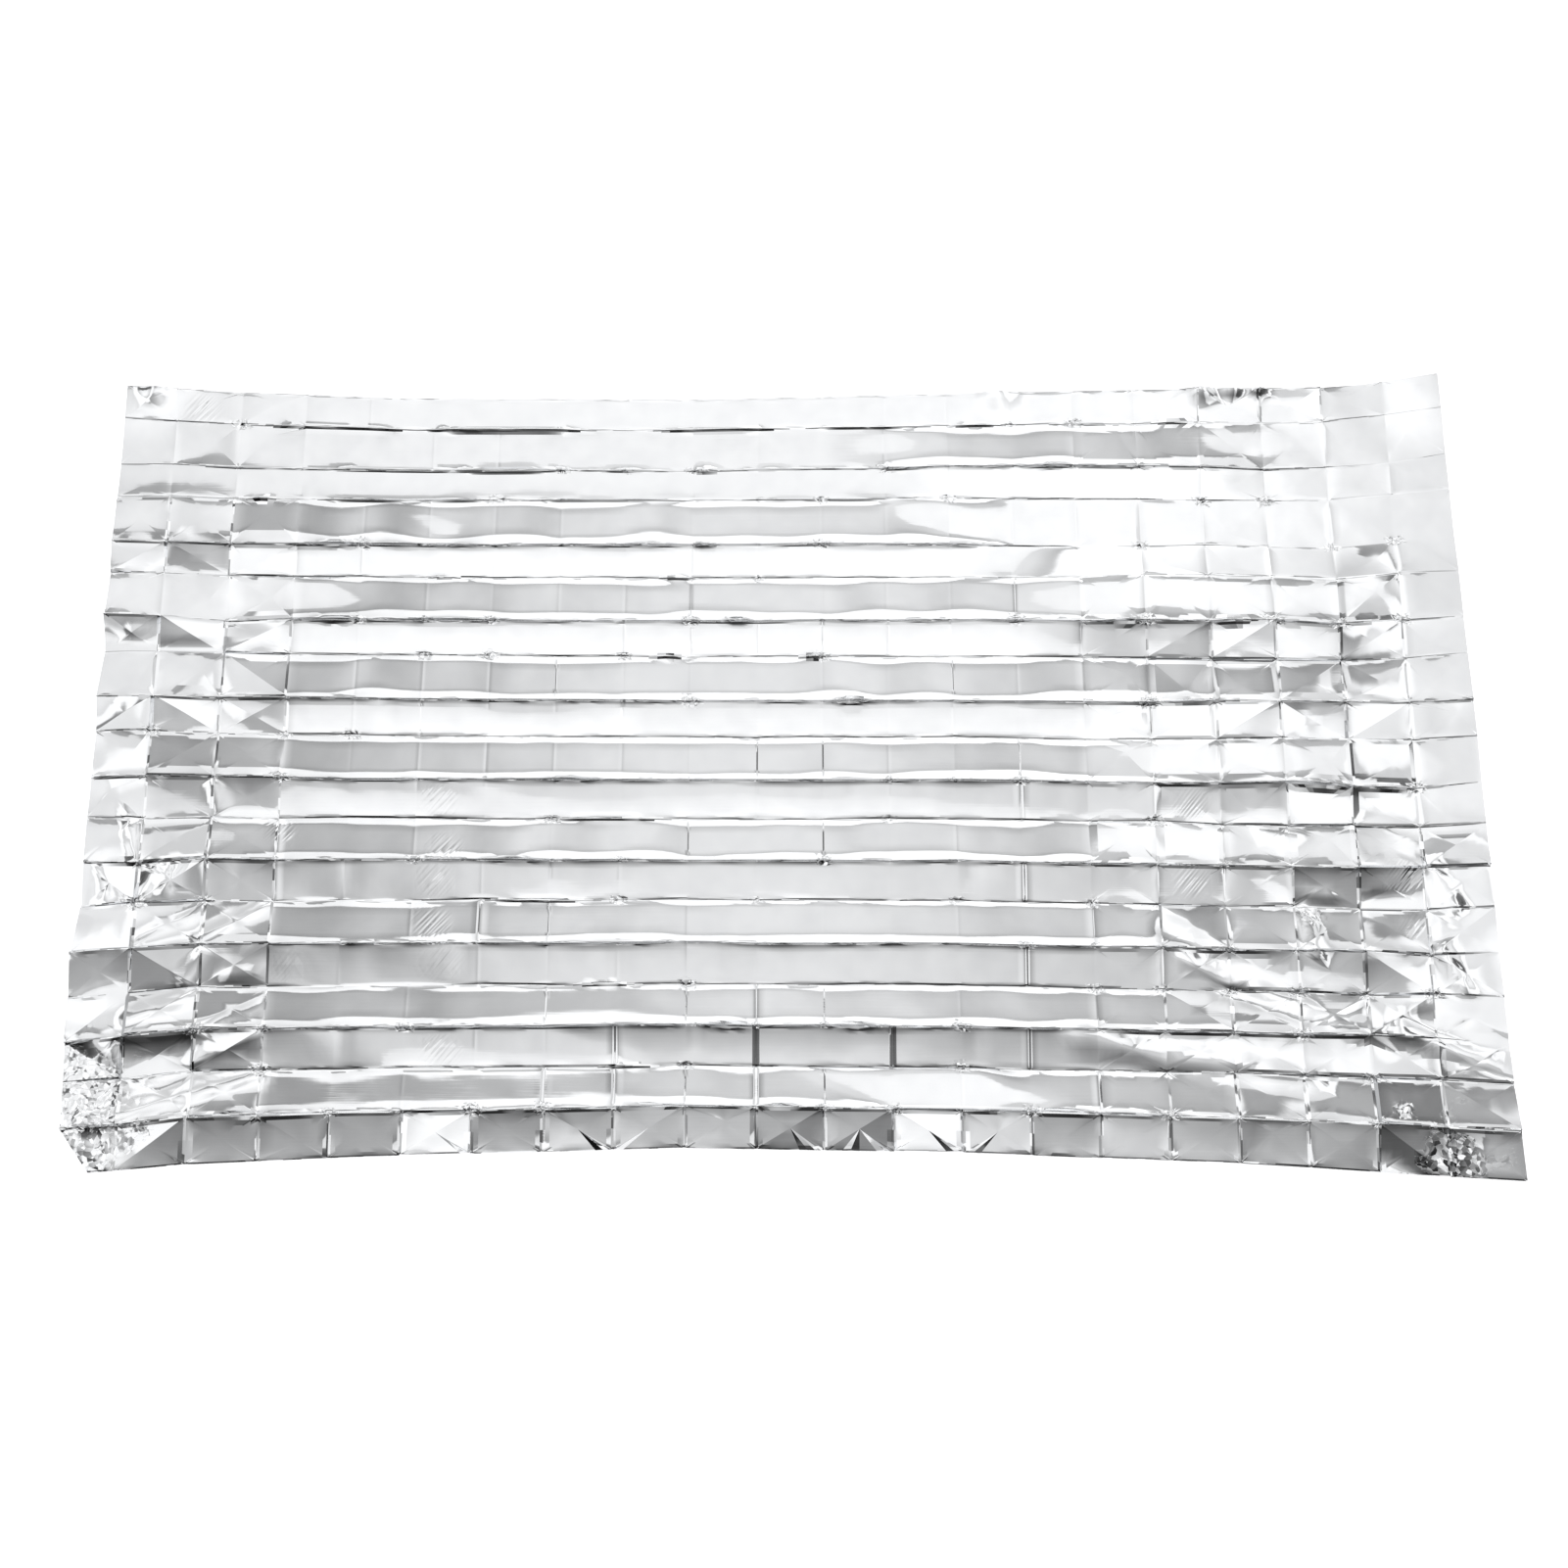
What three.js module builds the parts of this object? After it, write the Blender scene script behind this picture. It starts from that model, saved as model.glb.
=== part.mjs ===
// Emergency foil blanket: one sheet of metallised film, unfolded and laid flat on a surface.
// Millimetres, +Z up, +X along the sheet, +Y across it towards the far edge.
// The sheet keeps the folds of its packet: long pleats along X, crossed by a crease at every packet width.

import * as THREE from "three";

// Sheet
const THICKNESS = 1.8;
const FOIL_COLOUR = 0xd9dadb;

// Column creases, counted from the left: the first column is a part column
const COLUMN_COUNT = 20;
const FIRST_COLUMN_X = -964;
const MIDDLE_COLUMN = 9;
const LEFT_COLUMN_PITCH = 102;
const RIGHT_COLUMN_PITCH = 99;
const LIVELY_LEFT_COLUMNS = 3;
const LIVELY_RIGHT_COLUMNS = 6;

// Pleat profile: a valley lies flat, a ridge rises slowly on its far side and drops on its near one
const VALLEY_FLAT = 8;
const VALLEY_LIP = 10;
const RIDGE_SHOULDER = 12;
const RIDGE_FOOT = 8;
const EDGE_LIP = 14;
const FAR_LIP_SHARE = 0.12;
const NEAR_LIP_SHARE = 0.2;
const SHOULDER_SHARE = 0.7;
const FOOT_SHARE = 0.34;

// Unevenness, in the calm middle and at the crumpled ends
const CALM_HALF_LENGTH = 520;
const ROUGH_HALF_LENGTH = 960;
const CREASE_RISE_MIDDLE = 0.6;
const CREASE_RISE_END = 2.8;
const CREASE_RISE_NEAR_BAND = 1.6;
const CRUMPLE_MIDDLE = 0.3;
const CRUMPLE_END = 2.2;

// Long lines that the pulls of the waist are given at, by their place across the narrow middle
const FAR_LINE_Y = 421;
const MIDDLE_LINE_Y = 56;
const NEAR_LINE_Y = -478;

// Scrambling factors of the fixed unevenness
const SCRAMBLE_ALONG = 12.9898;
const SCRAMBLE_ACROSS = 78.233;
const SCRAMBLE_SPREAD = 43758.5453;

// A row for each long fold and each long edge, far edge first.
// y: place across the sheet at its narrow middle; start, finish: where the fold ends at left and right;
// left, middle, right: height of the underside there.
const FOLDS = [
  { kind: "edge", y: 601, start: -1046, finish: 1032, left: 3, middle: 5, right: 6 },
  { kind: "valley", y: 546, start: -1046, finish: 1033, left: 0, middle: 0, right: 0 },
  { kind: "ridge", y: 474, start: -1046, finish: 1034, left: 5, middle: 10, right: 4 },
  { kind: "valley", y: 421, start: -1047, finish: 1035, left: 0, middle: 0, right: 0 },
  { kind: "ridge", y: 343, start: -1049, finish: 1036, left: 6, middle: 11, right: 4 },
  { kind: "valley", y: 289, start: -1046, finish: 1038, left: 0, middle: 0, right: 0 },
  { kind: "ridge", y: 216, start: -1050, finish: 1039, left: 8, middle: 12, right: 5 },
  { kind: "valley", y: 159, start: -1044, finish: 1040, left: 0, middle: 0, right: 0 },
  { kind: "ridge", y: 85, start: -1051, finish: 1042, left: 8, middle: 12, right: 6 },
  { kind: "valley", y: 28, start: -1046, finish: 1043, left: 0, middle: 0, right: 0 },
  { kind: "ridge", y: -42, start: -1047, finish: 1043, left: 8, middle: 12, right: 7 },
  { kind: "valley", y: -102, start: -1047, finish: 1044, left: 0, middle: 0, right: 0 },
  { kind: "ridge", y: -168, start: -1047, finish: 1044, left: 8, middle: 12, right: 8 },
  { kind: "valley", y: -228, start: -1044, finish: 1045, left: 0, middle: 0, right: 0 },
  { kind: "ridge", y: -295, start: -1054, finish: 1045, left: 9, middle: 12, right: 9 },
  { kind: "valley", y: -356, start: -1051, finish: 1046, left: 0, middle: 0, right: 0 },
  { kind: "ridge", y: -419, start: -1050, finish: 1047, left: 8, middle: 13, right: 9 },
  { kind: "valley", y: -478, start: -1047, finish: 1048, left: 0, middle: 0, right: 0 },
  { kind: "ridge", y: -538, start: -1044, finish: 1050, left: 9, middle: 14, right: 8 },
  { kind: "edge", y: -597, start: -998, finish: 1054, left: 0, middle: 0, right: 0 },
];

// Where the two long edges run: the pleats draw the middle of the sheet in and lie opener at its ends.
// farPull, middlePull, nearPull: how far the folds at the three lines above lie from an even share of it.
const WAIST = [
  { x: -1054, far: 622, near: -638, farPull: 0, middlePull: 20, nearPull: 9 },
  { x: -998, far: 619, near: -633, farPull: 0, middlePull: 20, nearPull: 11 },
  { x: -860, far: 611, near: -620, farPull: 0, middlePull: 14, nearPull: 13 },
  { x: -620, far: 601, near: -609, farPull: 4, middlePull: 10.5, nearPull: 8 },
  { x: -150, far: 598, near: -596, farPull: 4.5, middlePull: 2, nearPull: 1.5 },
  { x: 250, far: 609, near: -603, farPull: 0, middlePull: 0, nearPull: 3 },
  { x: 640, far: 617, near: -618, farPull: -7, middlePull: -4, nearPull: 7 },
  { x: 840, far: 618, near: -631, farPull: -8, middlePull: 0, nearPull: 13 },
  { x: 920, far: 626, near: -636, farPull: -6, middlePull: 0, nearPull: 13 },
  { x: 1054, far: 648, near: -644.4, farPull: -6, middlePull: 0, nearPull: 12 },
];

// Folds that cut across the grid: a soft ridge from one point to another.
const SLANT_FOLDS = [
  { fromX: 815, fromY: -445, toX: 1050, toY: -570, rise: 7, halfWidth: 34 },
  { fromX: 860, fromY: -590, toX: 1000, toY: -520, rise: 5, halfWidth: 30 },
  { fromX: 700, fromY: -170, toX: 930, toY: -330, rise: 5, halfWidth: 36 },
  { fromX: 560, fromY: -250, toX: 700, toY: -420, rise: 4, halfWidth: 34 },
  { fromX: 840, fromY: 60, toX: 1000, toY: -30, rise: 4, halfWidth: 34 },
  { fromX: -1040, fromY: 240, toX: -860, toY: 180, rise: 5, halfWidth: 34 },
  { fromX: -1040, fromY: -300, toX: -880, toY: -390, rise: 5, halfWidth: 34 },
  { fromX: -1030, fromY: -600, toX: -900, toY: -500, rise: 6, halfWidth: 40 },
];

// Corners that stand off the surface.
const LIFTED_CORNERS = [
  { x: 1032, y: 645, reach: 150, lift: 10 },
  { x: -1046, y: 622, reach: 110, lift: 4 },
  { x: -1020, y: -625, reach: 90, lift: 7 },
  { x: 1054, y: -645, reach: 120, lift: 5 },
];

/** Ease from 0 at low to 1 at high. */
function ease(low, high, value) {
  const share = Math.min(Math.max((value - low) / (high - low), 0), 1);
  return share * share * (3 - 2 * share);
}

/** Read one column of a table between its rows, which are sorted by the key column. */
function between(table, key, column, value) {
  const rising = table[0][key] < table[table.length - 1][key];
  const rows = rising ? table : [...table].reverse();
  const next = rows.findIndex((row) => row[key] >= value);
  if (next === 0) return rows[0][column];
  if (next < 0) return rows[rows.length - 1][column];
  const low = rows[next - 1];
  const high = rows[next];
  const share = (value - low[key]) / (high[key] - low[key]);
  return low[column] + share * (high[column] - low[column]);
}

/** A fixed, uneven number from -1 to 1 for one point of the grid. */
function uneven(along, across) {
  const wave = Math.sin(along * SCRAMBLE_ALONG + across * SCRAMBLE_ACROSS) * SCRAMBLE_SPREAD;
  return 2 * (wave - Math.floor(wave)) - 1;
}

/** How far into the crumpled ends a place is: 0 in the middle, 1 at the ends. */
function roughness(x) {
  return ease(CALM_HALF_LENGTH, ROUGH_HALF_LENGTH, Math.abs(x));
}

/** Height of one fold at a place along it. */
function foldHeight(fold, x) {
  const end = x < 0 ? fold.left : fold.right;
  return fold.middle + (end - fold.middle) * roughness(x);
}

/** The long lines of the grid, far edge first: the folds and the bends beside them. */
function makeRails() {
  const rails = [];
  const add = (y, fold, share, band, creased) => rails.push({ y, fold, share, band, creased });
  FOLDS.forEach((fold, index) => {
    const before = FOLDS[index - 1];
    const after = FOLDS[index + 1];
    if (fold.kind === "valley") {
      add(fold.y + VALLEY_FLAT / 2 + VALLEY_LIP, before, FAR_LIP_SHARE, index, true);
      add(fold.y + VALLEY_FLAT / 2, fold, 0, index, false);
      add(fold.y - VALLEY_FLAT / 2, fold, 0, index, false);
      add(fold.y - VALLEY_FLAT / 2 - VALLEY_LIP, after, NEAR_LIP_SHARE, index + 1, true);
    } else if (fold.kind === "ridge") {
      add(fold.y + RIDGE_SHOULDER, fold, SHOULDER_SHARE, index, true);
      add(fold.y, fold, 1, index, false);
      add(fold.y - RIDGE_FOOT, fold, FOOT_SHARE, index + 1, true);
    } else if (after) {
      add(fold.y, fold, 1, index + 1, true);
    } else {
      add(fold.y + EDGE_LIP, before, FAR_LIP_SHARE, index, true);
      add(fold.y, fold, 1, index, true);
    }
  });
  return rails;
}

/** The cross lines of the grid, left first: each column crease, with lines between them at the ends. */
function makeStations() {
  const stations = [];
  const columnX = (column) => {
    const pitch = column < MIDDLE_COLUMN ? LEFT_COLUMN_PITCH : RIGHT_COLUMN_PITCH;
    const middleX = FIRST_COLUMN_X + MIDDLE_COLUMN * LEFT_COLUMN_PITCH;
    return middleX + (column - MIDDLE_COLUMN) * pitch;
  };
  stations.push({ column: -1, fromStart: 0 });
  stations.push({ column: -1, fromStart: 0.5 });
  for (let column = 0; column < COLUMN_COUNT; column += 1) {
    stations.push({ column, x: columnX(column) });
    const lively = column < LIVELY_LEFT_COLUMNS || column >= COLUMN_COUNT - LIVELY_RIGHT_COLUMNS;
    if (lively && column < COLUMN_COUNT - 1) {
      stations.push({ column: -1, x: (columnX(column) + columnX(column + 1)) / 2 });
    }
  }
  stations.push({ column: -1, fromFinish: 0.5 });
  stations.push({ column: -1, fromFinish: 0 });
  return stations;
}

/** Where one cross line meets one long line, along the sheet. */
function placeAlong(station, rail, stations) {
  const firstCrease = stations.find((other) => other.column === 0).x;
  const lastCrease = stations.find((other) => other.column === COLUMN_COUNT - 1).x;
  if (station.fromStart !== undefined) {
    const start = between(FOLDS, "y", "start", rail.y);
    return start + station.fromStart * (firstCrease - start);
  }
  if (station.fromFinish !== undefined) {
    const finish = between(FOLDS, "y", "finish", rail.y);
    return finish + station.fromFinish * (lastCrease - finish);
  }
  return station.x;
}

/** How far a long line lies from an even share of the waist at a place along it: nothing at the edges. */
function pullAcross(rail, x) {
  const lines = [
    { y: FOLDS[0].y, pull: 0 },
    { y: FAR_LINE_Y, pull: between(WAIST, "x", "farPull", x) },
    { y: MIDDLE_LINE_Y, pull: between(WAIST, "x", "middlePull", x) },
    { y: NEAR_LINE_Y, pull: between(WAIST, "x", "nearPull", x) },
    { y: FOLDS[FOLDS.length - 1].y, pull: 0 },
  ];
  return between(lines, "y", "pull", rail.y);
}

/** Where one long line runs across the sheet at a place along it. */
function placeAcross(rail, x) {
  const farMiddle = FOLDS[0].y;
  const nearMiddle = FOLDS[FOLDS.length - 1].y;
  const share = (rail.y - nearMiddle) / (farMiddle - nearMiddle);
  const near = between(WAIST, "x", "near", x);
  return near + share * (between(WAIST, "x", "far", x) - near) + pullAcross(rail, x);
}

/** Rise of the folds that cut across the grid, and of the lifted corners. */
function looseRise(x, y) {
  let rise = 0;
  for (const fold of SLANT_FOLDS) {
    const runX = fold.toX - fold.fromX;
    const runY = fold.toY - fold.fromY;
    const along = ((x - fold.fromX) * runX + (y - fold.fromY) * runY) / (runX * runX + runY * runY);
    const held = Math.min(Math.max(along, 0), 1);
    const away = Math.hypot(x - fold.fromX - held * runX, y - fold.fromY - held * runY);
    rise += fold.rise * Math.max(0, 1 - away / fold.halfWidth);
  }
  for (const corner of LIFTED_CORNERS) {
    const away = Math.hypot(x - corner.x, y - corner.y);
    rise += corner.lift * (1 - ease(0, corner.reach, away));
  }
  return rise;
}

/** Height of the underside at one point of the grid. */
function undersideHeight(rail, railIndex, station, stationIndex, x, y) {
  const rough = roughness(x);
  let height = rail.share * foldHeight(rail.fold, x) + looseRise(x, y);
  if (!rail.creased) return height;
  if (station.column >= 0) {
    const side = (rail.band + station.column) % 2 === 0 ? 1 : -1;
    const nearBand = rail.band === FOLDS.length - 1 ? CREASE_RISE_NEAR_BAND : 0;
    height += side * (CREASE_RISE_MIDDLE + nearBand + (CREASE_RISE_END - CREASE_RISE_MIDDLE) * rough);
  }
  height += uneven(stationIndex, railIndex) * (CRUMPLE_MIDDLE + (CRUMPLE_END - CRUMPLE_MIDDLE) * rough);
  return Math.max(height, 0);
}

/** The sheet as one closed body: its underside, the same surface one thickness higher, and the rim. */
function makeSheet() {
  const rails = makeRails();
  const stations = makeStations();
  const columns = stations.length;
  const layer = rails.length * columns;
  const places = new Float32Array(2 * layer * 3);
  rails.forEach((rail, row) => {
    stations.forEach((station, column) => {
      const x = placeAlong(station, rail, stations);
      const y = placeAcross(rail, x);
      const z = undersideHeight(rail, row, station, column, x, y);
      const point = row * columns + column;
      places.set([x, y, z], point * 3);
      places.set([x, y, z + THICKNESS], (layer + point) * 3);
    });
  });

  const faces = [];
  const addQuad = (a, b, c, d) => faces.push(a, b, c, a, c, d);
  for (let row = 0; row + 1 < rails.length; row += 1) {
    for (let column = 0; column + 1 < columns; column += 1) {
      const farLeft = row * columns + column;
      const nearLeft = farLeft + columns;
      addQuad(farLeft, farLeft + 1, nearLeft + 1, nearLeft);
      addQuad(layer + farLeft, layer + nearLeft, layer + nearLeft + 1, layer + farLeft + 1);
    }
  }
  const addRim = (a, b) => addQuad(a, b, layer + b, layer + a);
  const lastRow = (rails.length - 1) * columns;
  for (let column = 0; column + 1 < columns; column += 1) {
    addRim(column + 1, column);
    addRim(lastRow + column, lastRow + column + 1);
  }
  for (let row = 0; row + 1 < rails.length; row += 1) {
    const start = row * columns;
    addRim(start, start + columns);
    addRim(start + 2 * columns - 1, start + columns - 1);
  }

  const geometry = new THREE.BufferGeometry();
  geometry.setAttribute("position", new THREE.BufferAttribute(places, 3));
  geometry.setIndex(faces);
  geometry.computeVertexNormals();
  return geometry;
}

const film = new THREE.MeshStandardMaterial({ color: FOIL_COLOUR, metalness: 1, roughness: 0.12 });
film.name = "metallised_film";

const sheet = new THREE.Mesh(makeSheet(), film);
sheet.name = "foil_sheet";

const blanket = new THREE.Group();
blanket.name = "emergency_foil_blanket";
blanket.add(sheet);

export default blanket;
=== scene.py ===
"""Looks of an emergency foil blanket: one mirror-bright film sheet, unfolded and laid on a pale floor.

Sizes are in millimetres and become metres where a mesh is made. The part's own frame holds:
+X runs along the sheet, +Y across it towards the far edge, and +Z up from the floor.
In the tables bands count from 1 at the far edge, folds from 0 there, and columns
and creases from 0 at the left edge.
"""

import logging
import math
from dataclasses import astuple, dataclass, field
from enum import Enum, IntEnum

import bpy
import numpy as np
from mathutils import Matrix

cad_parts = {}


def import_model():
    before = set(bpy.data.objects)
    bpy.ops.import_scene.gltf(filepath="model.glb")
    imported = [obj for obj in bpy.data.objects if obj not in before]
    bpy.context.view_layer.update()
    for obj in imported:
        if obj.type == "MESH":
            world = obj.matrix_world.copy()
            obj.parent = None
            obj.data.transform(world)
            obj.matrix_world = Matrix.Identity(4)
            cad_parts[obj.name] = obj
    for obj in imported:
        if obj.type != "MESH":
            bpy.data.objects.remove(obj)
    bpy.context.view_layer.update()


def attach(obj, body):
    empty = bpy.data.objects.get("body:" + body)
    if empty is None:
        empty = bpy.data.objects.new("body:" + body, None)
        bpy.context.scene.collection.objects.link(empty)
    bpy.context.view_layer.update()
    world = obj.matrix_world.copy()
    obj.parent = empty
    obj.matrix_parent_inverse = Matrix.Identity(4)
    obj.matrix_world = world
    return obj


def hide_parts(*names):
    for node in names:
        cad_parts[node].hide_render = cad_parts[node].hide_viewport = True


LOG = logging.getLogger("foil_blanket")
METRE = 0.001
LATTICE_POINTS = 257
TRIANGLE_HEIGHT = math.sqrt(0.75)
SkyCurve = tuple[tuple[float, int], ...]


class Draw(IntEnum):
    """Seed of each set of random numbers."""

    FOLD_HEIGHT = 19
    DROP_PINCH = 20
    DROP_SWELL = 21
    BORDER_SWAY = 22
    SKIRT = 23
    PANEL = 24
    FOLD_WANDER = 25
    CRIMP = 26
    CROSS_CREASE = 27
    PINCHED_KNOT = 28
    SAG = 29
    RAGGED_PATCH = 30
    SWELL = 31
    RIPPLE = 32


class FoldKind(Enum):
    """What a long line of the sheet is."""

    EDGE = "cut edge"
    VALLEY = "fold that lies on the floor"
    RIDGE = "fold that stands up"


class Split(Enum):
    """Where a panel's own crease runs.

    Each corner has a hip, far left first and on clockwise: 1 where it stands at the peak's height, 0 where
    it climbs all the way to the peak.
    """

    NONE = (1.0, 1.0, 1.0, 1.0)
    POINT = (0.0, 0.0, 0.0, 0.0)
    DOWN = (1.0, 0.0, 1.0, 0.0)
    UP = (0.0, 1.0, 0.0, 1.0)


@dataclass(frozen=True)
class LongFold:
    """A fold or cut edge that runs the length of the sheet.

    y is its place across the sheet's narrow middle, and start and finish are its ends at left and right.
    left and right are its heights at those ends, and west and east its heights in the left and right half
    of the middle. It leaves its left height about runs_from and comes to its right height about runs_to.
    """

    kind: FoldKind
    y: float
    start: float
    finish: float
    left: float
    west: float
    east: float
    right: float
    runs_from: float
    runs_to: float


@dataclass(frozen=True)
class WaistStation:
    """Where the two long edges run at one place along the sheet.

    The pulls say how far the folds about three long lines lie from an even share of the way between them.
    """

    x: float
    far: float
    near: float
    far_pull: float
    middle_pull: float
    near_pull: float


@dataclass(frozen=True)
class SlantFold:
    """A fold that cuts across the packet's grid between two points: a trough where rise is negative."""

    from_x: float
    from_y: float
    to_x: float
    to_y: float
    rise: float
    half_width: float


@dataclass(frozen=True)
class LiftedEdge:
    """A place on the sheet's edge that stands off the floor."""

    x: float
    y: float
    reach: float
    lift: float


@dataclass(frozen=True)
class Welt:
    """A stretch of a long fold where the film is pinched up narrowly."""

    fold: int
    from_x: float
    to_x: float
    half_width: float
    height: float


@dataclass(frozen=True)
class BandTilt:
    """A stretch of a band that is tilted between its folds, far side up where across_deg is positive.

    Its ends slant to the right by lean on the way from the far fold to the near fold.
    """

    band: int
    from_x: float
    to_x: float
    across_deg: float
    lean: float


@dataclass(frozen=True)
class HardCrease:
    """A crease between two columns that stands out in one band."""

    band: int
    crease: int
    height: float


@dataclass(frozen=True)
class Flute:
    """A flute in the near band that runs down a crease and opens towards the cut edge."""

    crease: int
    half_width: float
    height: float


@dataclass(frozen=True)
class EdgeFlute:
    """A flute in the near band between two creases, at one of its column's cross marks on the cut edge."""

    column: int
    mark: int
    height: float


@dataclass(frozen=True)
class Scuff:
    """A place where the film is scored with fine creases side by side."""

    x: float
    y: float
    reach: float


@dataclass(frozen=True)
class CrumpledPatch:
    """A place where the film is crushed small, and how far."""

    x: float
    y: float
    reach: float
    share: float


@dataclass(frozen=True)
class BandRun:
    """Which columns of a band lie calm, first and last, and which end columns lie flat on the floor.

    Columns up to flat_left and from flat_right on lie flat. Those between a flat and the calm run are
    as lively as the share says. The band hangs below a straight slope by its sag.
    """

    flat_left: int
    calm_first: int
    calm_last: int
    flat_right: int
    lively: float
    sag: float


@dataclass(frozen=True)
class PanelTurn:
    """A panel that shows a slope of its own, or lies plain where no more than its place is given.

    along_deg lifts its right side and across_deg its far side. A crease of its own runs down or up to the
    right between two corners, or a point stands in its middle. peak is the height of either, or of the
    whole panel where it has no split.
    """

    band: int
    column: int
    along_deg: float = 0
    across_deg: float = 0
    split: Split = Split.NONE
    peak: float = 0


LONG_FOLDS = (
    LongFold(FoldKind.EDGE, 601, -1046, 1032, 1, 2, 2, 1, -960, 800),
    LongFold(FoldKind.VALLEY, 546, -1046, 1033, 0, 0, 0, 0, -960, 900),
    LongFold(FoldKind.RIDGE, 474, -1046, 1034, 0.5, 1.2, 9, 0.5, -960, 670),
    LongFold(FoldKind.VALLEY, 421, -1047, 1035, 0, 0, 0, 0, -960, 900),
    LongFold(FoldKind.RIDGE, 343, -1049, 1036, 2.5, 10, 10, 0.5, -900, 280),
    LongFold(FoldKind.VALLEY, 289, -1046, 1038, 0, 0, 0, 13, -960, 410),
    LongFold(FoldKind.RIDGE, 216, -1050, 1039, 1, 10, 10, 17, -800, 410),
    LongFold(FoldKind.VALLEY, 159, -1044, 1040, 0, 0, 0, 0, -960, 900),
    LongFold(FoldKind.RIDGE, 85, -1051, 1042, 1, 10.5, 10.5, 14.5, -880, 500),
    LongFold(FoldKind.VALLEY, 28, -1046, 1043, 0, 0, 0, 11, -960, 500),
    LongFold(FoldKind.RIDGE, -42, -1047, 1043, 2.5, 11.5, 13, 18, -960, 500),
    LongFold(FoldKind.VALLEY, -102, -1047, 1044, 0, 0, 0, 5, -960, 500),
    LongFold(FoldKind.RIDGE, -168, -1047, 1044, 2, 12, 12, 12.5, -960, 820),
    LongFold(FoldKind.VALLEY, -228, -1044, 1045, 0, 0, 0, 0, -960, 900),
    LongFold(FoldKind.RIDGE, -295, -1054, 1045, 5, 13, 13, 12, -980, 880),
    LongFold(FoldKind.VALLEY, -356, -1051, 1046, 0, 0, 0, 0, -960, 900),
    LongFold(FoldKind.RIDGE, -419, -1050, 1047, 6, 14.5, 14.5, 8, -980, 860),
    LongFold(FoldKind.VALLEY, -478, -1047, 1048, 0, 0, 0, 0, -960, 900),
    LongFold(FoldKind.RIDGE, -538, -1044, 1050, 7, 15.5, 15.5, 9, -980, 1000),
    LongFold(FoldKind.EDGE, -597, -998, 1054, 0, 0, 0, 0, -960, 900),
)

WAIST = (
    WaistStation(-1054, 622, -638, 0, 20, 9),
    WaistStation(-998, 619, -633, 0, 20, 11),
    WaistStation(-860, 611, -620, 0, 14, 13),
    WaistStation(-620, 601, -609, 4, 10.5, 8),
    WaistStation(-150, 598, -596, 4.5, 2, 1.5),
    WaistStation(250, 609, -603, 0, 0, 3),
    WaistStation(640, 617, -618, -7, -4, 7),
    WaistStation(840, 618, -631, -8, 0, 13),
    WaistStation(920, 626, -636, -6, 0, 13),
    WaistStation(1054, 648, -644.4, -6, 0, 12),
)

SLANT_FOLDS = (
    SlantFold(-1000, 195, -800, 190, 2, 28),
    SlantFold(-851, -86, -860, -46, 2, 10),
    SlantFold(-986, -93, -968, -166, 3, 12),
    SlantFold(-1039, -176, -1010, -218, -3, 14),
    SlantFold(-955, -212, -933, -173, 3, 14),
    SlantFold(-923, -212, -901, -169, 2.5, 13),
    SlantFold(-955, -283, -876, -251, 2, 14),
    SlantFold(-867, -287, -771, -238, 2, 13),
    SlantFold(-881, -354, -860, -309, 2.5, 14),
    SlantFold(-820, -343, -771, -335, 2, 12),
    SlantFold(-960, -405, -879, -379, 3, 17),
    SlantFold(-870, -428, -770, -388, 1.6, 11),
    SlantFold(-1048, -430, -977, -461, 3, 20),
    SlantFold(-967, -439, -857, -430, 2, 11),
    SlantFold(-964, -471, -867, -461, -2, 11),
    SlantFold(-860, -468, -770, -436, 2, 13),
    SlantFold(-930, -500, -860, -470, 3, 20),
    SlantFold(-1010, -565, -767, -489, 4, 20),
    SlantFold(707, -122, 758, -136, 2, 13),
    SlantFold(763, -243, 778, -316, 4, 14),
    SlantFold(752, -216, 803, -223, 2, 12),
    SlantFold(954, -176, 988, -236, 4, 18),
    SlantFold(959, -270, 988, -236, 2.5, 14),
    SlantFold(960, -303, 990, -362, 4, 18),
    SlantFold(560, -270, 640, -330, -3, 30),
    SlantFold(590, -320, 760, -395, 2.5, 20),
    SlantFold(635, -368, 765, -407, -2.5, 18),
    SlantFold(796, -414, 835, -394, 2, 14),
    SlantFold(420, -440, 760, -500, 3.5, 30),
    SlantFold(890, -425, 1058, -488, 5, 24),
    SlantFold(905, -402, 1058, -452, -3, 22),
)

LIFTED_EDGES = (
    LiftedEdge(1032, 645, 150, 5),
    LiftedEdge(-1046, 622, 110, 4),
    LiftedEdge(-1020, -625, 90, 7),
    LiftedEdge(1054, -645, 120, 5),
    LiftedEdge(-1000, 612, 34, 6),
    LiftedEdge(330, 609, 46, 6),
    LiftedEdge(655, 615, 42, 8),
    LiftedEdge(705, 617, 26, 7),
    LiftedEdge(745, 618, 22, 7),
)

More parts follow.
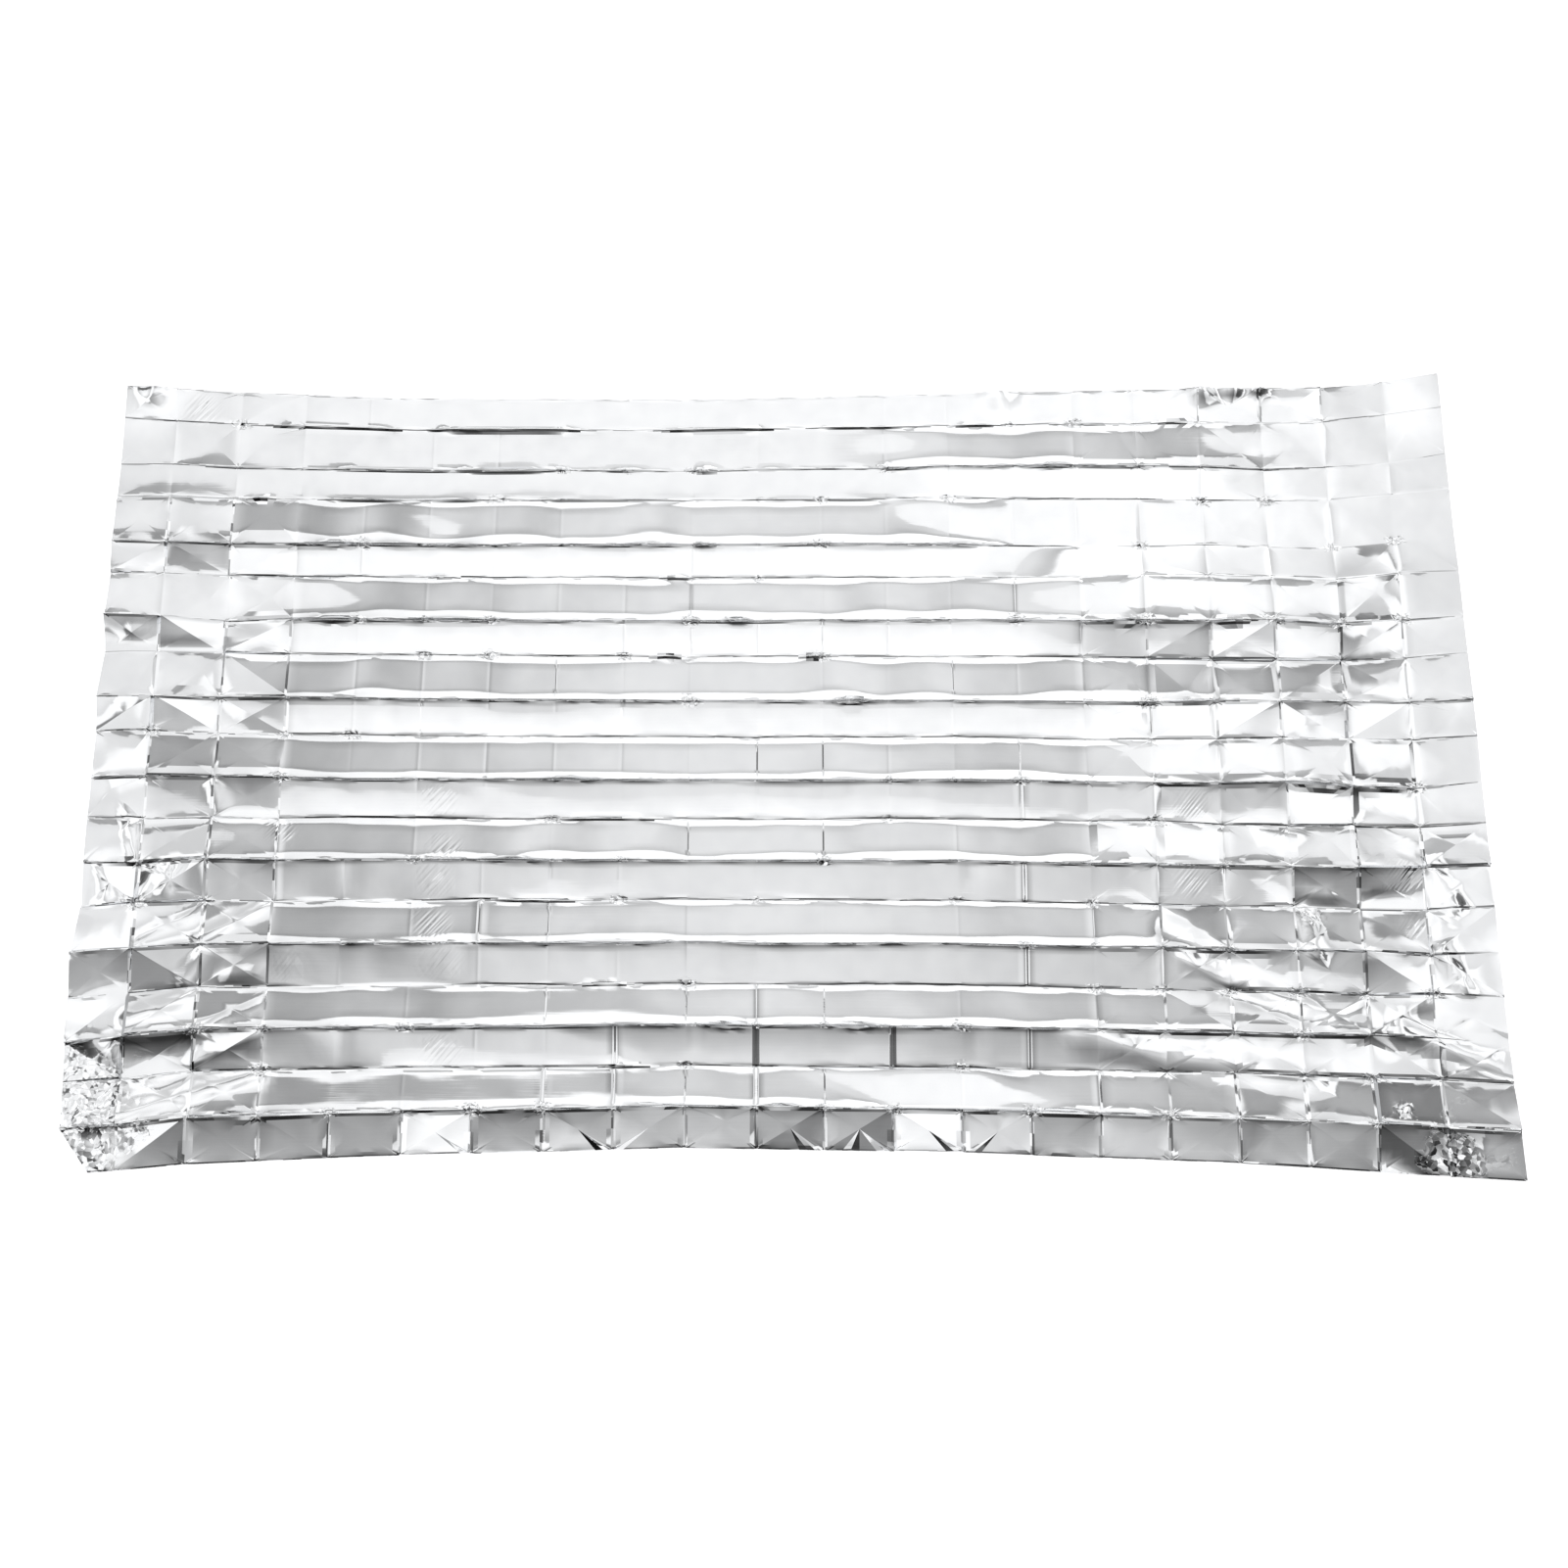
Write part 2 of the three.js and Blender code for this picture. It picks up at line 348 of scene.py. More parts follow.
WELTS = (
    Welt(1, -860, -560, 4, 3.4),
    Welt(1, -600, -290, 6, 5.1),
    Welt(1, -235, 20, 5, 4.2),
    Welt(1, 0, 250, 3, 2.5),
    Welt(1, 240, 350, 5, 4.2),
    Welt(1, 380, 560, 3, 2.5),
    Welt(1, 560, 650, 5, 4.2),
    Welt(2, -960, -700, 3, 1.6),
    Welt(2, -760, -480, 5, 2.8),
    Welt(2, -560, -320, 7, 4),
    Welt(2, -340, -160, 4, 2.2),
    Welt(2, -155, -105, 9, 4.5),
    Welt(2, -100, 60, 3.5, 2),
    Welt(2, 140, 190, 6, 3),
    Welt(2, 360, 460, 6, 3),
    Welt(3, -850, -790, 7, 6),
    Welt(3, -760, -420, 3.5, 3),
    Welt(3, -440, -120, 3, 2.5),
    Welt(3, -100, 300, 3, 2.5),
    Welt(4, -750, -650, 6, 3.2),
    Welt(4, -660, -550, 5, 2.6),
    Welt(4, -280, -140, 5, 2.6),
    Welt(4, -150, -110, 8, 4),
    Welt(5, -205, -135, 5, 4.2),
    Welt(5, -560, -500, 4, 3.4),
    Welt(6, -750, -640, 7, 3.6),
    Welt(6, -620, -420, 4, 2.2),
    Welt(6, -105, -45, 8, 4),
    Welt(6, 480, 560, 8, 4),
    Welt(6, 640, 720, 9, 4.5),
    Welt(7, -215, -150, 7, 6),
    Welt(7, 15, 65, 8, 6.8),
    Welt(8, 60, 130, 9, 5),
    Welt(8, 560, 680, 6, 3.2),
    Welt(10, -380, -260, 5, 2.6),
    Welt(10, 735, 860, 10, 6),
    Welt(10, 850, 950, 5, 3),
    Welt(11, -380, -150, 4, 3.4),
    Welt(12, -480, -330, 5, 2.6),
    Welt(13, -470, -260, 4, 3.4),
    Welt(14, -420, -150, 4, 2.2),
    Welt(15, -330, -210, 5, 4.2),
    Welt(16, -150, -20, 7, 3.6),
    Welt(16, 60, 140, 7, 3.6),
    Welt(17, -280, -180, 5, 4.2),
    Welt(18, -880, -640, 7, 3.6),
    Welt(18, -300, -120, 6, 3),
    Welt(18, -60, 40, 6, 3),
    Welt(18, 320, 470, 6, 3),
)

BAND_TILTS = (
    BandTilt(4, -620, -480, 3, 60),
    BandTilt(4, 150, 330, 3, 60),
    BandTilt(6, -900, -630, 3, 60),
    BandTilt(8, 560, 710, 2.2, 60),
    BandTilt(11, -770, -480, -1.5, 60),
    BandTilt(13, -790, -560, 2.5, 60),
    BandTilt(13, 655, 775, -4, 40),
    BandTilt(14, -760, -150, -1.2, 60),
    BandTilt(15, -790, -480, 2.5, 60),
    BandTilt(15, 590, 770, -6, 110),
    BandTilt(16, -580, -170, -1.5, 60),
    BandTilt(17, -680, -230, -4.9, 90),
    BandTilt(17, 380, 530, 0.8, 90),
    BandTilt(17, 540, 960, -7, 240),
    BandTilt(18, -780, -190, -2, 60),
    BandTilt(18, 40, 380, 5.5, 90),
)

HARD_CREASES = (
    HardCrease(11, 14, 1.0),
    HardCrease(12, 3, 1.2),
    HardCrease(13, 3, 1.2),
    HardCrease(13, 14, 1.2),
    HardCrease(14, 6, 0.8),
    HardCrease(15, 14, 1.2),
    HardCrease(16, 10, 0.7),
    HardCrease(17, 8, 1.3),
    HardCrease(17, 10, 1.8),
    HardCrease(17, 12, 1.8),
    HardCrease(17, 14, 1.2),
    HardCrease(18, 7, 1.0),
    HardCrease(18, 8, 1.0),
    HardCrease(18, 10, 1.3),
    HardCrease(18, 15, 1.0),
)

FLUTES = (
    Flute(2, 14, 3.1),
    Flute(3, 6, 1.3),
    Flute(4, 7, 2.3),
    Flute(5, 10, 2.2),
    Flute(6, 14, 3.1),
    Flute(7, 9, 3),
    Flute(8, 9, 3),
    Flute(9, 9, 2),
    Flute(10, 9, 2),
    Flute(11, 9, 2),
    Flute(12, 12, 2.7),
    Flute(13, 14, 3.1),
    Flute(14, 6, 2),
    Flute(15, 6, 1.3),
    Flute(16, 8, 2.7),
    Flute(17, 7, 1.6),
    Flute(18, 6, 2),
    Flute(19, 9, 2),
)

EDGE_FLUTES = (
    EdgeFlute(5, 10, 5),
    EdgeFlute(7, 9, 3),
    EdgeFlute(8, 2, 5),
    EdgeFlute(10, 8, 2.6),
    EdgeFlute(10, 9, 2.6),
    EdgeFlute(11, 5, 2.8),
    EdgeFlute(11, 9, 6),
    EdgeFlute(12, 9, 2.6),
    EdgeFlute(13, 3, 2),
)

SCUFFS = (
    Scuff(-924, 581, 34),
    Scuff(-754, -120, 26),
    Scuff(-522, -73, 34),
    Scuff(-509, -149, 30),
    Scuff(-523, -196, 36),
    Scuff(-526, -264, 36),
    Scuff(-511, -319, 40),
    Scuff(-734, -328, 30),
    Scuff(-502, -455, 34),
    Scuff(605, -81, 30),
    Scuff(599, -200, 34),
    Scuff(915, -190, 36),
    Scuff(921, -266, 26),
)

CRUMPLED_PATCHES = (
    CrumpledPatch(-1010, -585, 85, 0.7),
    CrumpledPatch(-1038, -515, 75, 0.45),
    CrumpledPatch(950, -615, 52, 0.85),
    CrumpledPatch(884, -548, 13, 0.5),
    CrumpledPatch(766, -258, 15, 0.4),
)

BAND_RUNS = (
    BandRun(0, 1, 16, 17, 0.5, 0),
    BandRun(0, 2, 16, 17, 0.5, 0),
    BandRun(0, 1, 16, 17, 0.5, 0.2),
    BandRun(-1, 3, 15, 16, 0.6, 0),
    BandRun(-1, 2, 15, 16, 0.6, 0.5),
    BandRun(1, 3, 14, 15, 0.6, 0),
    BandRun(-1, 3, 14, 19, 0.5, 0.6),
    BandRun(1, 3, 15, 19, 0.5, 0),
    BandRun(-1, 3, 15, 20, 0.55, 0.6),
    BandRun(-1, 3, 14, 20, 0.5, 0),
    BandRun(0, 3, 15, 20, 0.5, 0.8),
    BandRun(0, 3, 14, 21, 0.55, 0),
    BandRun(0, 3, 15, 20, 0.55, 0.5),
    BandRun(0, 3, 15, 20, 0.6, 0),
    BandRun(-1, 3, 15, 20, 0.6, 0.5),
    BandRun(-1, 3, 15, 20, 0.6, 0),
    BandRun(-1, 3, 13, 21, 0.6, 0.9),
    BandRun(-1, 3, 15, 21, 0.6, 0),
    BandRun(-1, 21, 21, 21, 0.3, 0.6),
)

PANEL_TURNS = (
    PanelTurn(1, 17, 0, 3, Split.UP, -3),
    PanelTurn(1, 18, 2, 5, Split.POINT, -3),
    PanelTurn(4, 0, 0, 1),
    PanelTurn(4, 1, 0, 3),
    PanelTurn(5, 0, -2, 4, Split.UP, 4),
    PanelTurn(5, 1, -2, 10, Split.DOWN, 2),
    PanelTurn(7, 0, 0, 20, Split.POINT, 3),
    PanelTurn(7, 1, -3, 12, Split.DOWN, 4),
    PanelTurn(7, 2, 0, -1, Split.UP, 4),
    PanelTurn(7, 15),
    PanelTurn(7, 16, 0, -1, Split.UP, 2),
    PanelTurn(7, 17, 2, -5, Split.UP, 3),
    PanelTurn(7, 18, 0, -6),
    PanelTurn(7, 19, 0, 4, Split.UP, 4),
    PanelTurn(8, 2, 0, 1.5, Split.DOWN, 3),
    PanelTurn(8, 18, 0, 2.5, Split.UP, 2),
    PanelTurn(9, 0, 4, 0, Split.UP, 3),
    PanelTurn(9, 1, -4, 6, Split.DOWN, 4),
    PanelTurn(9, 2, 2, 4, Split.POINT, 2),
    PanelTurn(9, 17, 0, 1.5, Split.UP, 3),
    PanelTurn(9, 18, -2, 4, Split.DOWN, -4),
    PanelTurn(9, 19, 3, 3, Split.UP, -4),
    PanelTurn(10, 1, 0, -2, Split.UP, 0.8),
    PanelTurn(10, 2, 0, 0, Split.DOWN, 1),
    PanelTurn(11, 1, 0, 3.3),
    PanelTurn(11, 2, 0, 5, Split.UP, -1),
    PanelTurn(11, 18, 0, -7),
    PanelTurn(12, 1, 0, -9, Split.UP, -1),
    PanelTurn(12, 2, 0, 0, Split.DOWN, 1),
    PanelTurn(12, 19, 0, -8),
    PanelTurn(12, 20, 0, -9, Split.POINT, 3),
    PanelTurn(13, 0, 3, 0, Split.DOWN, 3),
    PanelTurn(13, 1, 3, -2, Split.UP, 4),
    PanelTurn(13, 2, 0, 2),
    PanelTurn(13, 16),
    PanelTurn(13, 17),
    PanelTurn(13, 18, -1, 6, Split.DOWN, 2),
    PanelTurn(13, 19, 0, 15),
    PanelTurn(14, 0, 0, 6),
    PanelTurn(14, 1, 1, 3, Split.UP, -1),
    PanelTurn(14, 2, 2, 0, Split.UP, 1),
    PanelTurn(14, 16, 0, 3, Split.DOWN, 4),
    PanelTurn(14, 18, 0, 0, Split.DOWN, -1.5),
    PanelTurn(14, 19, 3, -5),
    PanelTurn(14, 20, 0, 0, Split.UP, 2),
    PanelTurn(15, 0, -2, 7, Split.UP, 2),
    PanelTurn(15, 1, -2, 3.5, Split.DOWN, 3),
    PanelTurn(15, 2, 2, 1, Split.POINT, 2),
    PanelTurn(15, 16),
    PanelTurn(15, 17),
    PanelTurn(15, 18, -1, -5),
    PanelTurn(15, 19, 0, -2, Split.DOWN, 4),
    PanelTurn(15, 20, 0, 0, Split.DOWN, 3),
    PanelTurn(16, 0, -3, 2, Split.UP, -2.5),
    PanelTurn(16, 1, -3, 0, Split.UP, 3),
    PanelTurn(16, 2, 0, -2),
    PanelTurn(16, 16, 0, -1, Split.DOWN, 2),
    PanelTurn(16, 17, 0, -1, Split.DOWN, -1),
    PanelTurn(16, 18, 0, 0, Split.UP, -2),
    PanelTurn(16, 19, 0, 3, Split.UP, 3),
    PanelTurn(17, 0, 4, -2, Split.UP, 3),
    PanelTurn(17, 1, -2, 6, Split.UP, -3),
    PanelTurn(17, 2, 2, 0, Split.UP, 3),
    PanelTurn(17, 15),
    PanelTurn(17, 16),
    PanelTurn(17, 17),
    PanelTurn(17, 18),
    PanelTurn(17, 19),
    PanelTurn(18, 2, 1.5, 0),
    PanelTurn(18, 16, -1, -1),
    PanelTurn(18, 17, -1.5, -1),
    PanelTurn(18, 18, -1.5, -1),
    PanelTurn(18, 19, -6, 1, Split.NONE, 4),
    PanelTurn(18, 20, 2.5, -3, Split.DOWN, 1.5),
    PanelTurn(19, 1, 2, -1, Split.UP, 4),
    PanelTurn(19, 2),
    PanelTurn(19, 4),
    PanelTurn(19, 5, 0, -11, Split.UP, 2),
    PanelTurn(19, 6, 0, 2),
    PanelTurn(19, 7, 0, -1, Split.DOWN, -1.5),
    PanelTurn(19, 8, 0, -1, Split.UP, 1),
    PanelTurn(19, 10, -2, 3, Split.UP, 2),
    PanelTurn(19, 11, 2, 3, Split.UP, 3),
    PanelTurn(19, 12, 0, -11, Split.DOWN, 3),
    PanelTurn(19, 13, 0, -4, Split.DOWN, 1.5),
    PanelTurn(19, 15, 0, -3),
    PanelTurn(19, 16, 0, -2),
    PanelTurn(19, 18, 0, -2, Split.DOWN, 0.8),
    PanelTurn(19, 19, 5, 9, Split.DOWN, 4),
    PanelTurn(19, 20, 0, 5),
)

NEAR_BAND = len(BAND_RUNS) - 1
RIDGES = np.array([fold.kind is FoldKind.RIDGE for fold in LONG_FOLDS])


def linear_light(share: float) -> float:
    """Turns an sRGB share, which may be a little over 1, into linear light by the standard's own curve."""
    return share / 12.92 if share <= 0.04045 else ((share + 0.055) / 1.055) ** 2.4


def linear_from_hex(colour: str) -> tuple[float, float, float, float]:
    """Turns an sRGB hex colour into linear light.

    Args:
        colour: Six hex digits after a hash sign.

    Returns:
        Linear red, green and blue, and an alpha of 1.
    """
    red, green, blue = (linear_light(int(colour[place : place + 2], 16) / 255) for place in (1, 3, 5))
    return red, green, blue, 1.0


def ease(low: float, high: float, value: np.ndarray) -> np.ndarray:
    """Eases from 0 at low to 1 at high: 3 s squared less 2 s cubed of the share s between them.

    Args:
        low: Where the rise starts.
        high: Where it ends.
        value: Places to read.

    Returns:
        The eased share at each place.
    """
    share = np.clip((value - low) / (high - low), 0.0, 1.0)
    return share * share * (3.0 - 2.0 * share)


def fade(away: np.ndarray, reach: float, core: float = 0.0) -> np.ndarray:
    """A share that is 1 over the core, itself a share of the reach, and eases to 0 at the reach."""
    return 1.0 - ease(core * reach, reach, away)


def stretch(start: float, finish: float, taper: float, x: np.ndarray) -> np.ndarray:
    """A share of 1 between start and finish that eases to 0 over the taper at either end."""
    return ease(start, start + taper, x) * ease(finish, finish - taper, x)


def tent(away: np.ndarray, half_width: float | np.ndarray) -> np.ndarray:
    """A straight-sided ridge: 1 on its line and 0 from the half width on."""
    return np.maximum(0.0, 1.0 - np.abs(away) / half_width)


def bend(t: np.ndarray, rounding: np.ndarray) -> np.ndarray:
    """A rounded bend, from level before 0 to a slope of one after it."""
    return 0.5 * (t + np.sqrt(t * t + rounding * rounding))


def lattice(along: np.ndarray, across: np.ndarray, draw: Draw) -> tuple[np.ndarray, ...]:
    """Reads random heights from -1 to 1 at the corners of the unit square that each place lies in.

    Args:
        along: Places along the lattice.
        across: Places across it.
        draw: Which random numbers to use.

    Returns:
        Heights at the first corner, to its right, above it and opposite, and the place's shares of the way
        along and across the square.
    """
    heights = np.random.default_rng(draw.value).uniform(-1.0, 1.0, (LATTICE_POINTS, LATTICE_POINTS))
    column = np.floor(along).astype(int)
    row = np.floor(across).astype(int)
    corners = [
        heights[(column + right) % LATTICE_POINTS, (row + up) % LATTICE_POINTS]
        for right, up in ((0, 0), (1, 0), (0, 1), (1, 1))
    ]
    return *corners, along - column, across - row


def facets(x: np.ndarray, y: np.ndarray, grain: float, draw: Draw) -> np.ndarray:
    """Flat random triangles, as crushed film has: a random height at each point of a triangle lattice.

    Between lattice points the height is linear in x and y on each triangle, so each one is a plane.

    Args:
        x: Places along the sheet.
        y: Places across it.
        grain: Side of a triangle.
        draw: Which random numbers to use.

    Returns:
        Heights from -1 to 1.
    """
    across = y / (grain * TRIANGLE_HEIGHT)
    corner, right, up, opposite, f, g = lattice(x / grain - 0.5 * across, across, draw)
    lower = corner + f * (right - corner) + g * (up - corner)
    upper = opposite + (1 - f) * (up - opposite) + (1 - g) * (right - opposite)
    return np.where(f + g < 1.0, lower, upper)


def soft_noise(x: np.ndarray, y: np.ndarray, grain: float, draw: Draw) -> np.ndarray:
    """Smooth random swells: random heights on a square lattice, eased between its points.

    Args:
        x: Places along the sheet.
        y: Places across it.
        grain: Spacing of the lattice.
        draw: Which random numbers to use.

    Returns:
        Heights from -1 to 1.
    """
    corner, right, up, opposite, f, g = lattice(x / grain, y / grain, draw)
    f = ease(0.0, 1.0, f)
    g = ease(0.0, 1.0, g)
    low = corner * (1 - f) + right * f
    high = up * (1 - f) + opposite * f
    return low * (1 - g) + high * g


def read_between(table: np.ndarray, row: np.ndarray, u: np.ndarray) -> np.ndarray:
    """Reads a table of values at whole numbers, in a straight line from one to the next.

    Args:
        table: Rows of values, such as one row for each long fold and one value for each column crease.
        row: Which row to read.
        u: Where to read it.

    Returns:
        The value at each place.
    """
    left = np.clip(np.floor(u).astype(int), 0, table.shape[1] - 2)
    share = u - left
    return table[row, left] * (1.0 - share) + table[row, left + 1] * share


def empty_tree(owner: bpy.types.Material | bpy.types.World) -> bpy.types.NodeTree:
    """Turns on the shader nodes of a material or world and takes out those it starts with."""
    owner.use_nodes = True
    owner.node_tree.nodes.clear()
    return owner.node_tree


def add_node(
    tree: bpy.types.NodeTree,
    kind: str,
    values: dict | None = None,
    links: dict | None = None,
    **settings: object,
) -> bpy.types.Node:
    """Adds a shader node with its settings and links.

    Args:
        tree: The tree it goes in.
        kind: Blender's name of the node type.
        values: Input socket to fixed value.
        links: Input socket to the output socket that feeds it.
        **settings: Properties of the node itself.

    Returns:
        The new node.
    """
    node = tree.nodes.new(kind)
    for name, setting in settings.items():
        setattr(node, name, setting)
    for socket, value in (values or {}).items():
        node.inputs[socket].default_value = value
    for socket, source in (links or {}).items():
        tree.links.new(source, node.inputs[socket])
    return node


def set_ramp(node: bpy.types.Node, stops: list[tuple[float, float]]) -> None:
    """Gives a colour ramp grey stops.

    Args:
        node: The ramp node.
        stops: Place from 0 to 1 and linear grey of each stop, in order.
    """
    ramp = node.color_ramp
    while len(ramp.elements) < len(stops):
        ramp.elements.new(1.0)
    for element, (place, grey) in zip(ramp.elements, stops):
        element.position = place
        element.color = (grey, grey, grey, 1.0)


@dataclass(frozen=True)
class MetallisedFilm:
    """Polyester film with a vapour coat of aluminium: a near-white mirror, sharp on flat panels.

    The coat gives neutral grey reflections. Handling leaves fine ripples and hairline creases,
    which break a reflection up without dulling it.
    """

    name: str = "metallised_polyester_film"
    bright: str = "#EDEEEF"
    dull: str = "#E3E4E6"
    roughness_low: float = 0.04
    roughness_high: float = 0.10
    ripple_mm: float = 34.0
    ripple_height_mm: float = 0.09
    streak_length_mm: float = 70.0
    streak_width_mm: float = 3.0
    streak_height_mm: float = 0.012
    score_length_mm: float = 60.0
    score_width_mm: float = 4.0
    score_way_deg: float = 50.0
    score_height_mm: float = 0.5
    crush_mm: float = 8.0
    crush_slope: float = 0.7
    crush_stir: float = 0.6

    def material(self) -> bpy.types.Material:
        """Builds the film's material.

        Returns:
            The material.
        """
        film = bpy.data.materials.new(self.name)
        tree = empty_tree(film)
        place = add_node(tree, "ShaderNodeTexCoord").outputs["Object"]

        # Soft ripples over the whole film
        ripple_size = {"Scale": 1.0 / (self.ripple_mm * METRE), "Detail": 1.0, "Roughness": 0.5}
        ripple = add_node(tree, "ShaderNodeTexNoise", ripple_size, {"Vector": place}).outputs

        # Streaks that run along the sheet
        streak_shape = {"Scale": (1.0 / self.streak_length_mm, 1.0 / self.streak_width_mm, 0.0)}
        drawn = add_node(tree, "ShaderNodeMapping", streak_shape, {"Vector": place}).outputs
        streak_size = {"Scale": 1.0 / METRE, "Detail": 1.0}
        streak = add_node(tree, "ShaderNodeTexNoise", streak_size, {"Vector": drawn["Vector"]}).outputs

        # Fine creases side by side, only where the film is scuffed
        score_shape = {
            "Rotation": (0.0, 0.0, math.radians(self.score_way_deg)),
            "Scale": (self.score_length_mm * METRE, self.score_width_mm * METRE, 1.0),
        }
        turned = add_node(tree, "ShaderNodeMapping", score_shape, {"Vector": place}, vector_type="TEXTURE")
        score_size = {"Scale": 1.0, "Detail": 0.0}
        sources = {"Vector": turned.outputs["Vector"]}
        score = add_node(tree, "ShaderNodeTexNoise", score_size, sources).outputs
        scuff = add_node(tree, "ShaderNodeAttribute", attribute_name="scuff").outputs
        product = {0: score["Fac"], 1: scuff["Fac"]}
        scored = add_node(tree, "ShaderNodeMath", links=product, operation="MULTIPLY").outputs

        # Small planes, each tilted by the colour of its own cell, only where the film is crushed
        stir = {1: (self.ripple_mm * METRE * self.crush_stir,) * 3}
        sources = {0: ripple["Color"], 2: place}
        stirred = add_node(tree, "ShaderNodeVectorMath", stir, sources, operation="MULTIPLY_ADD").outputs
        cell_size = {"Scale": 1.0 / (self.crush_mm * METRE)}
        cells = add_node(tree, "ShaderNodeTexVoronoi", cell_size, {"Vector": stirred["Vector"]}).outputs
        middle = {1: (0.5, 0.5, 0.5)}
        sources = {0: cells["Color"]}
        tilt = add_node(tree, "ShaderNodeVectorMath", middle, sources, operation="SUBTRACT").outputs
        sources = {0: stirred["Vector"], 1: cells["Position"]}
        apart = add_node(tree, "ShaderNodeVectorMath", links=sources, operation="SUBTRACT").outputs
        sources = {0: tilt["Vector"], 1: apart["Vector"]}
        plane = add_node(tree, "ShaderNodeVectorMath", links=sources, operation="DOT_PRODUCT").outputs
        crumple = add_node(tree, "ShaderNodeAttribute", attribute_name="crumple").outputs
        product = {0: plane["Value"], 1: crumple["Fac"]}
        crushed = add_node(tree, "ShaderNodeMath", links=product, operation="MULTIPLY").outputs

        # One bump on top of another
        normal = {}
        for height, depth in (
            (ripple["Fac"], self.ripple_height_mm * METRE),
            (streak["Fac"], self.streak_height_mm * METRE),
            (scored["Value"], self.score_height_mm * METRE),
            (crushed["Value"], self.crush_slope),
        ):
            size = {"Strength": 1.0, "Distance": depth}
            bump = add_node(tree, "ShaderNodeBump", size, {"Height": height, **normal})
            normal = {"Normal": bump.outputs["Normal"]}

        # Haze and colour of the coat, a little uneven
        span = {"To Min": self.roughness_low, "To Max": self.roughness_high}
        haze = add_node(tree, "ShaderNodeMapRange", span, {"Value": ripple["Fac"]}).outputs
        colours = {"A": linear_from_hex(self.bright), "B": linear_from_hex(self.dull)}
        tint = add_node(tree, "ShaderNodeMix", colours, {"Factor": ripple["Fac"]}, data_type="RGBA").outputs
        sources = {"Base Color": tint["Result"], "Roughness": haze["Result"], **normal}
        coat = add_node(tree, "ShaderNodeBsdfPrincipled", {"Metallic": 1.0}, sources)
        add_node(tree, "ShaderNodeOutputMaterial", links={"Surface": coat.outputs["BSDF"]})
        return film


@dataclass(frozen=True)
class Border:
    """The steep strip of a band beside one of its folds: its extra slope, its width and its rounding."""

    slope: np.ndarray
    width: np.ndarray
    rounding: np.ndarray

    def rise(self, d: np.ndarray) -> np.ndarray:
        """Rise at a distance d from the fold: the slope times a bend that ends at the strip's width."""
        return self.slope * (bend(self.width, self.rounding) - bend(self.width - d, self.rounding))


@dataclass(frozen=True)
class PanelForms:
    """The forms of the lively panels, one value for each.

    A panel has a point inside it, slopes along and across, a peak with a hip from each corner, and a core:
    the share of the way in from its rim at which it has its full slope.
    """

    point_u: np.ndarray
    point_v: np.ndarray
    along: np.ndarray
    across: np.ndarray
    peak: np.ndarray
    hips: np.ndarray
    core: np.ndarray


